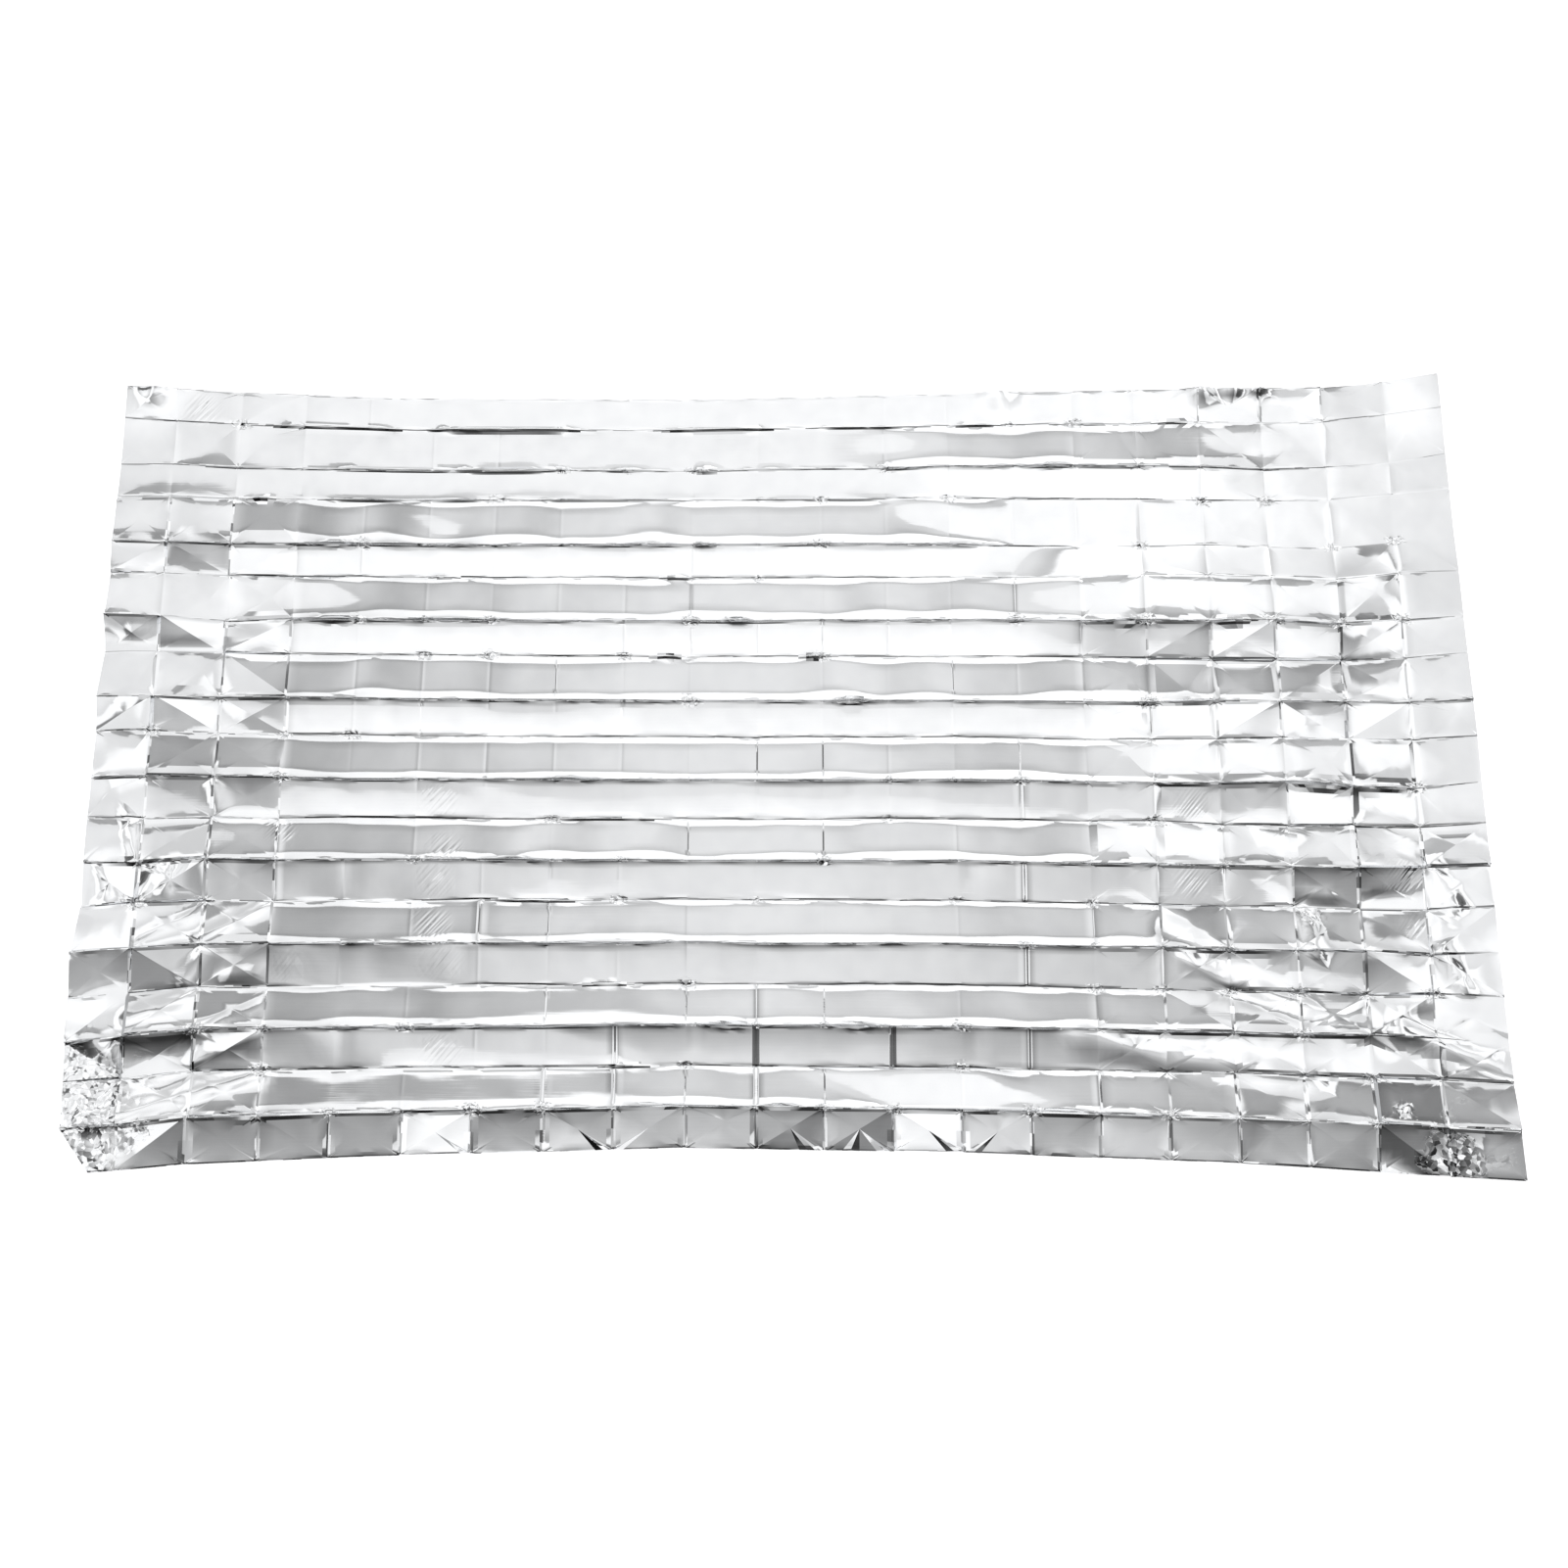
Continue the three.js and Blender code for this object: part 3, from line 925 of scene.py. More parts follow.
@dataclass
class FoilSheet:
    """The one film sheet, worked out panel by panel.

    A place on the sheet has a band number, here from 0, a column number u that is whole on a crease, and a
    share v of the way from the band's far fold to its near fold. Calm panels share one net of long and
    cross lines. A lively panel is a nest of frames that close in on a point of its own, so its slopes meet
    along straight creases. Unevenness along a band or fold is read from random swells on a lane of its own.
    """

    # Flat sheet and the grid of packet folds
    flat_width: float = 1300.0
    flat_length: float = 2100.0
    film_lift: float = 0.9
    first_column_x: float = -964.0
    column_count: int = 20
    middle_column: int = 9
    left_pitch: float = 102.0
    right_pitch: float = 99.0
    pull_lines: tuple[float, float, float] = (-478.0, 56.0, 421.0)

    # Heights and places of the long folds
    halves_meet: tuple[float, float] = (100.0, 260.0)
    run_reach: float = 80.0
    flat_run: tuple[float, float] = (850.0, 970.0)
    flat_near_y: float = -480.0
    loose_left: tuple[float, float] = (-760.0, -900.0)
    loose_right: tuple[float, float] = (500.0, 600.0)
    loose_end: tuple[float, float] = (880.0, 960.0)
    height_sway: float = 0.03
    node_rise: float = 2.5
    wander_middle: float = 1.0
    wander_end: float = 4.0

    # Steep borders of a rising band, widest in the far band
    valley_border: tuple[float, float] = (11.0, 5.0)
    ridge_border: tuple[float, float] = (16.0, 8.0)
    border_slope: float = 0.17
    border_round: float = 3.0
    border_no_height: float = 2.0
    border_sway: float = 0.5
    border_grain: float = 70.0
    border_lane: float = 650.0

    # Drop below a ridge
    drop_width: float = 1.8
    drop_fall: float = 3.5
    drop_round: float = 0.8
    drop_full_height: float = 2.5
    drop_ease: float = 0.5
    drop_ease_run: tuple[float, float] = (500.0, 700.0)
    drop_pinch: float = 0.6
    drop_power: float = 0.6
    drop_sway: float = 0.8
    drop_grain: float = 34.0
    drop_lane: float = 370.0

    # Skirt at the foot of the drop, and lip at the next valley
    skirt_width: float = 8.0
    skirt_least: float = 0.1
    skirt_mean: float = 0.6
    skirt_sway: float = 1.2
    skirt_slope: float = 0.11
    skirt_round: float = 2.0
    skirt_grain: float = 130.0
    skirt_lane: float = 430.0
    lip_width: float = 2.2
    lip_slope: float = 0.42
    lip_least: float = 0.6
    lip_round: float = 1.0

    # Welts, tilts, sag and crimp of the bands
    welt_taper: float = 90.0
    tilt_taper: float = 70.0
    tilt_start: float = 0.05
    sag_sway: float = 0.5
    sag_grain: float = 160.0
    crimp_height: float = 0.7
    crimp_reach: float = 3.5
    crimp_clear: float = 0.2
    crimp_grain: float = 26.0
    crimp_step: float = 1.5
    crimp_lane: float = 53.0

    # Creases between columns
    calm_columns: tuple[int, int] = (3, 14)
    crease_half_width: float = 1.2
    crease_height: float = 0.26
    crease_clear: float = 0.8
    crease_faint: float = 0.5
    crease_firm: float = 1.35
    crease_ends: float = 8.0
    far_band_share: float = 0.2
    band_share_step: float = 0.1
    broad_half_width: float = 5.5
    broad_height: float = 0.6
    broad_least: float = 0.3
    broad_more: float = 0.9
    hard_half_width: float = 3.5
    hard_ends: float = 24.0
    flute_end: float = 0.95

    # Panels that turn by themselves
    turn_deg: float = 1.2
    peak_height: float = 1.5
    flat_share: float = 0.12
    point_range: tuple[float, float] = (0.25, 0.75)
    core_start: float = 0.07
    loose_core_start: float = 0.2

    # Lines of the net, and how far a bend counts as a crease
    rise_marks: tuple[float, ...] = (
        0.0, 0.017, 0.05, 0.11, 0.18, 0.36, 0.56, 0.75, 0.83, 0.91, 0.965, 0.986,
    )
    fall_marks: tuple[float, ...] = (
        0.0, 0.018, 0.04, 0.075, 0.13, 0.22, 0.5, 0.8, 0.89, 0.945, 0.971, 0.987,
    )
    cross_marks: tuple[float, ...] = (
        0.0, 0.012, 0.055, 0.14, 0.25, 0.37, 0.5, 0.63, 0.75, 0.86, 0.945, 0.988,
    )
    frame_marks: tuple[float, ...] = (0.0, 0.025, 0.07, 0.2, 0.42, 0.7)
    weld_digits: int = 2
    calm_crease_deg: float = 14.0
    lively_crease_deg: float = 5.0

    # Soft swells, crushed patches and pinched knots
    swell_grain: float = 80.0
    swell_height: float = 0.28
    ripple_grain: float = 35.0
    ripple_height: float = 0.14
    patch_core: float = 0.3
    patch_sway: float = 0.6
    patch_grain: float = 22.0
    pinch_count: int = 90
    pinch_core: float = 0.2
    pinch_least: float = 0.4
    pinch_reach: float = 9.0
    pinch_stretch: float = 2.0
    finish: MetallisedFilm = field(default_factory=MetallisedFilm)

    def knot_x(self) -> np.ndarray:
        """Works out where the left edge, the column creases and the right edge are at the far edge.

        Returns:
            Place along the sheet of each, left first.
        """
        column = np.arange(self.column_count)
        pitch = np.where(column < self.middle_column, self.left_pitch, self.right_pitch)
        middle_x = self.first_column_x + self.middle_column * self.left_pitch
        creases = middle_x + (column - self.middle_column) * pitch
        return np.concatenate([[LONG_FOLDS[0].start], creases, [LONG_FOLDS[0].finish]])

    def knot_shares(self, draw: Draw) -> np.ndarray:
        """A random share for each long fold at each column crease."""
        return np.random.default_rng(draw.value).uniform(0.0, 1.0, (len(LONG_FOLDS), self.column_count + 2))

    def end_share(self, fold: LongFold) -> np.ndarray:
        """How far a pleat has run out at each column crease: 0 in the calm middle, 1 at the ends."""
        x = self.knot_x()
        reach = self.run_reach
        left = ease(fold.runs_from + reach, fold.runs_from - reach, x)
        return np.maximum(left, ease(fold.runs_to - reach, fold.runs_to + reach, x))

    def fold_heights(self) -> np.ndarray:
        """Height of each long fold at each column crease.

        The height in the middle passes to the height at the ends where the pleats run out. A seeded
        unevenness is slight in the middle, and lifts some of the knots where the film is loose.

        Returns:
            One row for each fold, one value for each crease.
        """
        rng = np.random.default_rng(Draw.FOLD_HEIGHT.value)
        x = self.knot_x()
        loose_right = ease(*self.loose_right, x) * (1.0 - ease(*self.loose_end, x))
        loose = np.maximum(ease(*self.loose_left, x), loose_right)
        rows = []
        for fold in LONG_FOLDS:
            out = self.end_share(fold)
            end = np.where(x < 0, fold.left, fold.right)
            middle = fold.west + (fold.east - fold.west) * ease(*self.halves_meet, x)
            height = middle + (end - middle) * out
            if fold.y > self.flat_near_y:
                height = height * (1.0 - ease(*self.flat_run, x))
            uneven = rng.uniform(-1.0, 1.0, x.size)
            lifted = np.maximum(uneven, 0.0) * self.node_rise * np.maximum(out, loose)
            rows.append(height * (1.0 + self.height_sway * uneven) + lifted)
        return np.array(rows)

    def fold_places(self) -> np.ndarray:
        """Where each long fold runs across the narrow middle at each column crease, with its wander.

        Returns:
            One row for each fold, one value for each crease.
        """
        rng = np.random.default_rng(Draw.FOLD_WANDER.value)
        x = self.knot_x()
        rows = []
        for fold in LONG_FOLDS:
            out = self.end_share(fold)
            amount = self.wander_middle + (self.wander_end - self.wander_middle) * out
            held = 0.0 if fold.kind is FoldKind.EDGE else 1.0
            rows.append(fold.y + held * amount * rng.uniform(-1.0, 1.0, x.size))
        return np.array(rows)

    def drop_swell(self, fold: np.ndarray, u: np.ndarray, x: np.ndarray) -> np.ndarray:
        """How wide the drop below each ridge is along the sheet.

        It is fullest between two creases and pinched at some of them: a seeded pinch at each crease fades
        with a power of the half sine over each column, and a slow swell goes on top.

        Args:
            fold: Number of the ridge.
            u: Column number.
            x: Place along the sheet.

        Returns:
            Share of the full width at each place.
        """
        pinch = self.knot_shares(Draw.DROP_PINCH) ** 2
        between = np.abs(np.sin(np.pi * u)) ** self.drop_power
        slow = soft_noise(x, self.drop_lane * fold, self.drop_grain, Draw.DROP_SWELL)
        pinched = self.drop_pinch * read_between(pinch, fold, u) * (1.0 - between)
        return (1.0 - pinched) * (1.0 + self.drop_sway * slow)

    def borders(
        self, band: np.ndarray, u: np.ndarray, x: np.ndarray, high: np.ndarray, firm: np.ndarray
    ) -> tuple[Border, Border, Border]:
        """Works out the steep borders of each band.

        A band that rises to a ridge leaves both folds steeply. One that falls from a ridge has a narrow
        drop and then a wider skirt below the ridge, and a lip at the valley. All swell along the sheet.

        Args:
            band: Band number.
            u: Column number.
            x: Place along the sheet.
            high: Height of the band's upper fold.
            firm: Share of a full drop that this height gives.

        Returns:
            The border at the far fold, the skirt there, and the border at the near fold.
        """
        rising = RIDGES[band + 1]
        share = np.clip((high - self.border_no_height) / self.border_no_height, 0.0, 1.0)
        slope = self.border_slope * share
        lane = self.border_lane * band
        sway = self.border_sway * soft_noise(x, lane, self.border_grain, Draw.BORDER_SWAY)
        bands = (0.0, float(NEAR_BAND))
        valley_width = np.interp(band, bands, self.valley_border) * (1.0 + sway)
        ridge_width = np.interp(band, bands, self.ridge_border)
        thin = 1.0 - self.drop_ease * ease(*self.drop_ease_run, x)
        drop_width = self.drop_width * self.drop_swell(band, u, x) * thin
        drop = np.where(RIDGES[band], self.drop_fall * firm, 0.0) * thin / drop_width
        lens = soft_noise(x, self.skirt_lane * band, self.skirt_grain, Draw.SKIRT)
        far = Border(
            np.where(rising, slope, -drop),
            np.where(rising, valley_width, drop_width),
            np.where(rising, self.border_round, self.drop_round),
        )
        skirt = Border(
            np.where(RIDGES[band], -self.skirt_slope * share, 0.0),
            self.skirt_width * np.maximum(self.skirt_least, self.skirt_mean + self.skirt_sway * lens),
            np.full_like(x, self.skirt_round),
        )
        near = Border(
            np.where(rising, slope, -self.lip_slope * (self.lip_least + (1.0 - self.lip_least) * firm)),
            np.where(rising, ridge_width, self.lip_width) * (1.0 - sway),
            np.where(rising, self.border_round, self.lip_round),
        )
        return far, skirt, near

    def pleat(
        self, band: np.ndarray, u: np.ndarray, v: np.ndarray
    ) -> tuple[np.ndarray, np.ndarray, np.ndarray]:
        """Carries the pleat profile along the sheet.

        The height is a straight core from fold to fold and the rise of the steep borders, with the core
        turned so that the folds keep their heights. A border's bend is a hyperbola,
        bend(t) = (t + sqrt(t * t + r * r)) / 2. A sag, which is a parabola from fold to fold, hangs below.
        A crimp of flat facets that fades with the distance from the fold, welts and tilts are added.

        Args:
            band: Band number.
            u: Column number.
            v: Share of the way from the far fold to the near fold.

        Returns:
            Place along the sheet and across its narrow middle, and height.
        """
        x = np.interp(u, np.arange(self.column_count + 2), self.knot_x())
        heights = self.fold_heights()
        places = self.fold_places()
        far_height = read_between(heights, band, u)
        near_height = read_between(heights, band + 1, u)
        far_y = read_between(places, band, u)
        width = far_y - read_between(places, band + 1, u)
        d = v * width

        high = np.where(RIDGES[band + 1], near_height, far_height)
        firm = np.clip(high / self.drop_full_height, 0.0, 1.0)
        far, skirt, near = self.borders(band, u, x, high, firm)
        whole = far.rise(width) + skirt.rise(width) + near.rise(width)
        borders = far.rise(d) + skirt.rise(d) + near.rise(width) - near.rise(width - d)
        height = far_height + (near_height - far_height - whole) * v + borders

        sag = np.array([run.sag for run in BAND_RUNS])[band]
        sway = soft_noise(x, self.sag_grain * band, self.sag_grain, Draw.SAG)
        height = height - 4.0 * sag * (1.0 + self.sag_sway * sway) * v * (1.0 - v)

        fold = np.where(v < 0.5, band, band + 1)
        away = np.where(v < 0.5, d, d - width)
        gap = np.abs(away)
        step = self.crimp_grain / self.crimp_step
        crimp = facets(x, (away + self.crimp_lane * fold) * step, self.crimp_grain, Draw.CRIMP)
        crimp = crimp * self.crimp_height * np.exp(-gap / self.crimp_reach) * (gap > self.crimp_clear)
        height = height + crimp * firm + self.welt_rise(fold, x, gap) + self.tilt_rise(band, x, v, width)
        return x, far_y - d, height

    def welt_rise(self, fold: np.ndarray, x: np.ndarray, gap: np.ndarray) -> np.ndarray:
        """Height of the welts: straight-sided ridges along the folds that taper to both ends.

        Args:
            fold: Number of the fold each place is nearest to.
            x: Place along the sheet.
            gap: Distance from that fold.

        Returns:
            Height to add at each place.
        """
        rise = np.zeros_like(x)
        for welt in WELTS:
            taper = min(self.welt_taper, (welt.to_x - welt.from_x) / 2)
            share = stretch(welt.from_x, welt.to_x, taper, x)
            ridge = welt.height * (share - gap / welt.half_width)
            rise = np.where(fold == welt.fold, np.maximum(rise, ridge), rise)
        return rise

    def tilt_rise(self, band: np.ndarray, x: np.ndarray, v: np.ndarray, width: np.ndarray) -> np.ndarray:
        """Height of the tilted stretches: planes about a band's middle line that fade to its folds.

        Args:
            band: Band number.
            x: Place along the sheet.
            v: Share of the way from the far fold to the near fold.
            width: Width of the band.

        Returns:
            Height to add at each place.
        """
        rise = np.zeros_like(x)
        inside = np.clip(np.minimum(v, 1.0 - v) / self.tilt_start, 0.0, 1.0)
        for tilt in BAND_TILTS:
            here = stretch(tilt.from_x, tilt.to_x, self.tilt_taper, x + tilt.lean * (0.5 - v))
            plane = math.tan(math.radians(tilt.across_deg)) * (0.5 - v) * width
            rise = rise + np.where(band == tilt.band - 1, plane * here * inside, 0.0)
        return rise

    def film(self, band: np.ndarray, u: np.ndarray, v: np.ndarray, relief: np.ndarray) -> np.ndarray:
        """Places film points: the pleats, the panel's own relief, the cross creases and soft swells.

        Along the sheet the end columns stretch to the slanting short edges. Across it the folds share the
        width between the two long edges, and are pulled aside about three long lines, by a share that
        passes in a straight line from one line to the next.

        Args:
            band: Band number.
            u: Column number.
            v: Share of the way from the far fold to the near fold.
            relief: Height of the panel's own relief.

        Returns:
            Points in millimetres.
        """
        middle_x, y_middle, z = self.pleat(band, u, v)
        ends = np.array([(fold.y, fold.start, fold.finish) for fold in reversed(LONG_FOLDS)])
        fold_y, starts, finishes = ends.T
        start = np.interp(y_middle, fold_y, starts) - LONG_FOLDS[0].start
        finish = np.interp(y_middle, fold_y, finishes) - LONG_FOLDS[0].finish
        first = np.clip(1.0 - u, 0.0, 1.0)
        last = np.clip(u - self.column_count, 0.0, 1.0)
        x = middle_x + first * start + last * finish

        waist_x, far_edge, near_edge, *pulls = np.array([astuple(station) for station in WAIST]).T
        far = np.interp(x, waist_x, far_edge)
        near = np.interp(x, waist_x, near_edge)
        y = near + (y_middle - fold_y[0]) / (fold_y[-1] - fold_y[0]) * (far - near)
        lines = (fold_y[0], *self.pull_lines, fold_y[-1])
        for line, pull in enumerate(reversed(pulls), start=1):
            y = y + np.interp(y_middle, lines, np.eye(len(lines))[line]) * np.interp(x, waist_x, pull)

        z = z + relief + self.cross_crease(band, u, v)
        z = z + soft_noise(x, y, self.swell_grain, Draw.SWELL) * self.swell_height
        z = z + soft_noise(x, y, self.ripple_grain, Draw.RIPPLE) * self.ripple_height
        return np.stack([x, y, z], axis=-1)

    def cross_crease(self, band: np.ndarray, u: np.ndarray, v: np.ndarray) -> np.ndarray:
        """Height of the creases between columns: straight-sided ridges, up or down by turns.

        Each has a strength of its own. They are broad where the pleats have run loose at the ends and fine
        in the calm middle, and fade at the folds. Hard creases stand over them, and flutes open as cones
        towards the near edge.

        Args:
            band: Band number.
            u: Column number.
            v: Share of the way from the far fold to the near fold.

        Returns:
            Height to add at each place.
        """
        knot = np.rint(u).astype(int)
        first, last = self.calm_columns
        broad = (knot <= first) | (knot > last)
        own = self.knot_shares(Draw.CROSS_CREASE)[band, knot]
        firm = np.clip(self.far_band_share + self.band_share_step * band, 0.0, 1.0)
        fine = firm * np.where(own > self.crease_clear, self.crease_firm, self.crease_faint * own)
        strength = np.where(broad, firm * (self.broad_least + self.broad_more * own), fine)
        half_width = np.where(broad, self.broad_half_width, self.crease_half_width)
        height = np.where(broad, self.broad_height, self.crease_height)
        near = band == NEAR_BAND
        inside = (knot > 0) & (knot <= self.column_count) & ~near
        side = np.where((knot + band) % 2 == 0, 1.0, -1.0)
        ridge = tent((u - knot) * self.right_pitch, half_width)
        rise = side * height * strength * ridge * inside * np.minimum(1.0, self.crease_ends * v * (1.0 - v))
        ends = np.minimum(1.0, self.hard_ends * v * (1.0 - v))
        for crease in HARD_CREASES:
            ridge = crease.height * tent((u - crease.crease) * self.right_pitch, self.hard_half_width)
            rise = np.where(band == crease.band - 1, np.maximum(rise, ridge * ends), rise)
        for flute in FLUTES:
            beside = np.abs(u - flute.crease) * self.right_pitch / flute.half_width
            rise = np.where(near, np.maximum(rise, flute.height * np.maximum(0.0, v - beside)), rise)
        return rise

    def liveliness(self) -> np.ndarray:
        """How lively each panel is: a little in a calm run and where it lies flat, more in between.

        Returns:
            One row for each band, one value for each column.
        """
        column = np.arange(self.column_count + 1)
        rows = []
        for run in BAND_RUNS:
            calm = (column >= run.calm_first) & (column <= run.calm_last)
            flat = (column <= run.flat_left) | (column >= run.flat_right)
            rows.append(np.where(calm | flat, self.flat_share, run.lively))
        return np.array(rows)

    def lively_panels(self) -> np.ndarray:
        """Which panels are lively: the end columns, the near band and those that turn by themselves.

        Returns:
            One row for each band, one mark for each column.
        """
        first, last = self.calm_columns
        bands, columns = np.indices((len(BAND_RUNS), self.column_count + 1))
        chosen = (columns < first) | (columns > last) | (bands == NEAR_BAND)
        for turn in PANEL_TURNS:
            chosen[turn.band - 1, turn.column] = True
        return chosen

    def calm_net(self) -> tuple[np.ndarray, np.ndarray]:
        """Nets the calm panels with long and cross lines.

        Returns:
            Points, and the corner numbers of each face of four.
        """
        marks = (self.fall_marks, self.rise_marks)
        count = len(BAND_RUNS)
        v = np.concatenate([marks[band % 2] for band in range(count)] + [[1.0]])
        band = np.repeat(np.arange(count), len(self.rise_marks))
        first, last = self.calm_columns
        u = (np.arange(first, last + 1)[:, None] + np.array(self.cross_marks)).ravel()
        column = np.floor(u).astype(int)
        u = np.concatenate([u, [last + 1.0]])
        calm = ~self.lively_panels()[band[:, None], column]
        u, v = np.meshgrid(u, v)
        band = np.broadcast_to(np.concatenate([band, band[-1:]])[:, None], u.shape)
        points = self.film(band, u, v, np.zeros(u.shape))
        number = np.arange(u.size).reshape(u.shape)
        quads = np.stack([number[:-1, :-1], number[1:, :-1], number[1:, 1:], number[:-1, 1:]], axis=-1)
        return points.reshape(-1, 3), quads[calm]

    def panel_forms(self, bands: np.ndarray, columns: np.ndarray, lively: np.ndarray) -> PanelForms:
        """Gives each lively panel its form: a random one, or its own where the table of turns has it.

        Args:
            bands: Band number of each panel.
            columns: Column number of each.
            lively: How lively each is.

        Returns:
            The forms.
        """
        rng = np.random.default_rng(Draw.PANEL.value)
        count = bands.size
        point_u = rng.uniform(*self.point_range, count)
        point_v = rng.uniform(*self.point_range, count)
        along = np.tan(np.radians(rng.normal(0.0, self.turn_deg, count))) * lively
        across = np.tan(np.radians(rng.normal(0.0, self.turn_deg, count))) * lively
        peak = rng.normal(0.0, self.peak_height, count) * lively
        hips = np.array([split.value for split in Split])[rng.integers(0, len(Split), count)]
        core = np.full(count, self.loose_core_start)
        for turn in PANEL_TURNS:
            here = (bands == turn.band - 1) & (columns == turn.column)
            point_u[here] = 0.5
            point_v[here] = 0.5
            along[here] = math.tan(math.radians(turn.along_deg))
            across[here] = math.tan(math.radians(turn.across_deg))
            peak[here] = turn.peak
            hips[here] = turn.split.value
            core[here] = self.core_start
        return PanelForms(point_u, point_v, along, across, peak, hips, core)

    def rims(self) -> np.ndarray:
        """Lays out the points on a panel's rim, clockwise from its far left corner.

        Returns:
            For falling bands and then for rising ones, three rows: the share of each point along the panel,
            its share across, and its way round, which is whole at the corners.
        """
        cross = np.array(self.cross_marks)
        back = np.concatenate([[1.0], cross[:0:-1]])
        kinds = []
        for marks in (self.fall_marks, self.rise_marks):
            down = np.array(marks)
            up = np.concatenate([[1.0], down[:0:-1]])
            u = np.concatenate([cross, np.ones_like(down), back, np.zeros_like(up)])
            v = np.concatenate([np.zeros_like(cross), down, np.ones_like(back), up])
            kinds.append((u, v, np.concatenate([cross, 1.0 + down, 3.0 - back, 4.0 - up])))
        return np.array(kinds)

    def lively_net(self) -> tuple[np.ndarray, np.ndarray, np.ndarray]:
        """Nets the lively panels, each with frames that close in on its own point.

        A panel's relief grows from its rim to its core and is then one plane at the panel's own slope. On
        the sheet's free edges it has its full height. Its peak adds a roof. Each corner's hip either rises
        with the relief to the peak's height or climbs all the way to it, so roofs are pyramids, gables over
        a diagonal or plateaus. Flutes between creases fade from the near edge as a parabola.

        Returns:
            Points, and the corner numbers of each face of four and of three.
        """
        chosen = self.lively_panels()
        bands, columns = np.nonzero(chosen)
        forms = self.panel_forms(bands, columns, self.liveliness()[chosen])
        point_u = forms.point_u[:, None, None]
        point_v = forms.point_v[:, None, None]
        rim_u, rim_v, rim_way = np.moveaxis(self.rims()[bands % 2], 1, 0)
        frame = np.concatenate([np.array(self.frame_marks), [1.0]])[None, :, None]
        u = rim_u[:, None, :] + frame * (point_u - rim_u[:, None, :])
        v = rim_v[:, None, :] + frame * (point_v - rim_v[:, None, :])

        fold_y = np.array([fold.y for fold in LONG_FOLDS])
        width = (fold_y[:-1] - fold_y[1:])[bands][:, None, None]
        plane = forms.along[:, None, None] * (u - point_u) * self.right_pitch
        plane = plane + forms.across[:, None, None] * (point_v - v) * width
        near = bands == NEAR_BAND
        free = np.zeros(rim_way.shape, dtype=bool)
        for side, at_edge in enumerate((bands == 0, columns == self.column_count, near, columns == 0)):
            free |= at_edge[:, None] & (rim_way > side) & (rim_way < side + 1)
        grown = np.where(free[:, None, :], 1.0, np.minimum(1.0, frame / forms.core[:, None, None]))
        hips = np.concatenate([forms.hips, forms.hips[:, :1]], axis=1)
        hip = read_between(hips, np.arange(bands.size)[:, None], rim_way)[:, None, :]
        relief = plane * grown + forms.peak[:, None, None] * (hip * grown + (1.0 - hip) * frame)
        fading = np.maximum(0.0, 1.0 - (frame[0, :, 0] / self.flute_end) ** 2)
        for flute in EDGE_FLUTES:
            rim = 2 * len(self.cross_marks) + len(self.rise_marks) - flute.mark
            relief[near & (columns == flute.column), :, rim] += flute.height * fading

        band = np.broadcast_to(bands[:, None, None], u.shape)
        points = self.film(band, columns[:, None, None] + u, v, relief)
        number = np.arange(u.size).reshape(u.shape)
        onward = np.roll(number, -1, axis=2)
        quads = np.stack([number[:, :-2], number[:, 1:-1], onward[:, 1:-1], onward[:, :-2]], axis=-1)
        tips = np.stack([number[:, -2], number[:, -1], onward[:, -2]], axis=-1)
        return points.reshape(-1, 3), quads.reshape(-1, 4), tips.reshape(-1, 3)

    def loose_relief(self, x: np.ndarray, y: np.ndarray) -> np.ndarray:
        """Relief that the packet didn't make: slanting folds and lifted edges, which fade with distance.

        Args:
            x: Places along the sheet.
            y: Places across it.

        Returns:
            Height to add at each place.
        """
        rise = np.zeros_like(x)
        for fold in SLANT_FOLDS:
            run_x = fold.to_x - fold.from_x
            run_y = fold.to_y - fold.from_y
            along = ((x - fold.from_x) * run_x + (y - fold.from_y) * run_y) / (run_x**2 + run_y**2)
            held = np.clip(along, 0.0, 1.0)
            away = np.hypot(x - fold.from_x - held * run_x, y - fold.from_y - held * run_y)
            rise += fold.rise * fade(away, fold.half_width)
        for edge in LIFTED_EDGES:
            rise += edge.lift * fade(np.hypot(x - edge.x, y - edge.y), edge.reach)
        return rise

    def crumple(self, x: np.ndarray, y: np.ndarray) -> np.ndarray:
        """How far the film is crushed small at each place, from 0 to 1: ragged patches and pinched knots.

        Args:
            x: Places along the sheet.
            y: Places across it.

        Returns:
            The share at each place.
        """
        share = np.zeros_like(x)
        ragged = 1.0 + self.patch_sway * soft_noise(x, y, self.patch_grain, Draw.RAGGED_PATCH)
        for patch in CRUMPLED_PATCHES:
            away = np.hypot(x - patch.x, y - patch.y) * ragged
            share = np.maximum(share, patch.share * fade(away, patch.reach, self.patch_core))
        rng = np.random.default_rng(Draw.PINCHED_KNOT.value)
        fold = rng.integers(1, len(LONG_FOLDS) - 1, self.pinch_count)
        knot = rng.integers(1, self.column_count + 1, self.pinch_count)
        places = self.film(fold, knot.astype(float), np.zeros(fold.size), np.zeros(fold.size))
        for place, reach in zip(places, rng.uniform(self.pinch_least, 1.0, fold.size) * self.pinch_reach):
            away = np.hypot((x - place[0]) / self.pinch_stretch, y - place[1])
            share = np.maximum(share, fade(away, reach, self.pinch_core))
        return share

    def scuffed(self, x: np.ndarray, y: np.ndarray) -> np.ndarray:
        """How deep the film is scored at each place, from 0 to 1.

        Args:
            x: Places along the sheet.
            y: Places across it.

        Returns:
            The share at each place.
        """
        share = np.zeros_like(x)
        for scuff in SCUFFS:
            share = np.maximum(share, fade(np.hypot(x - scuff.x, y - scuff.y), scuff.reach))
        return share

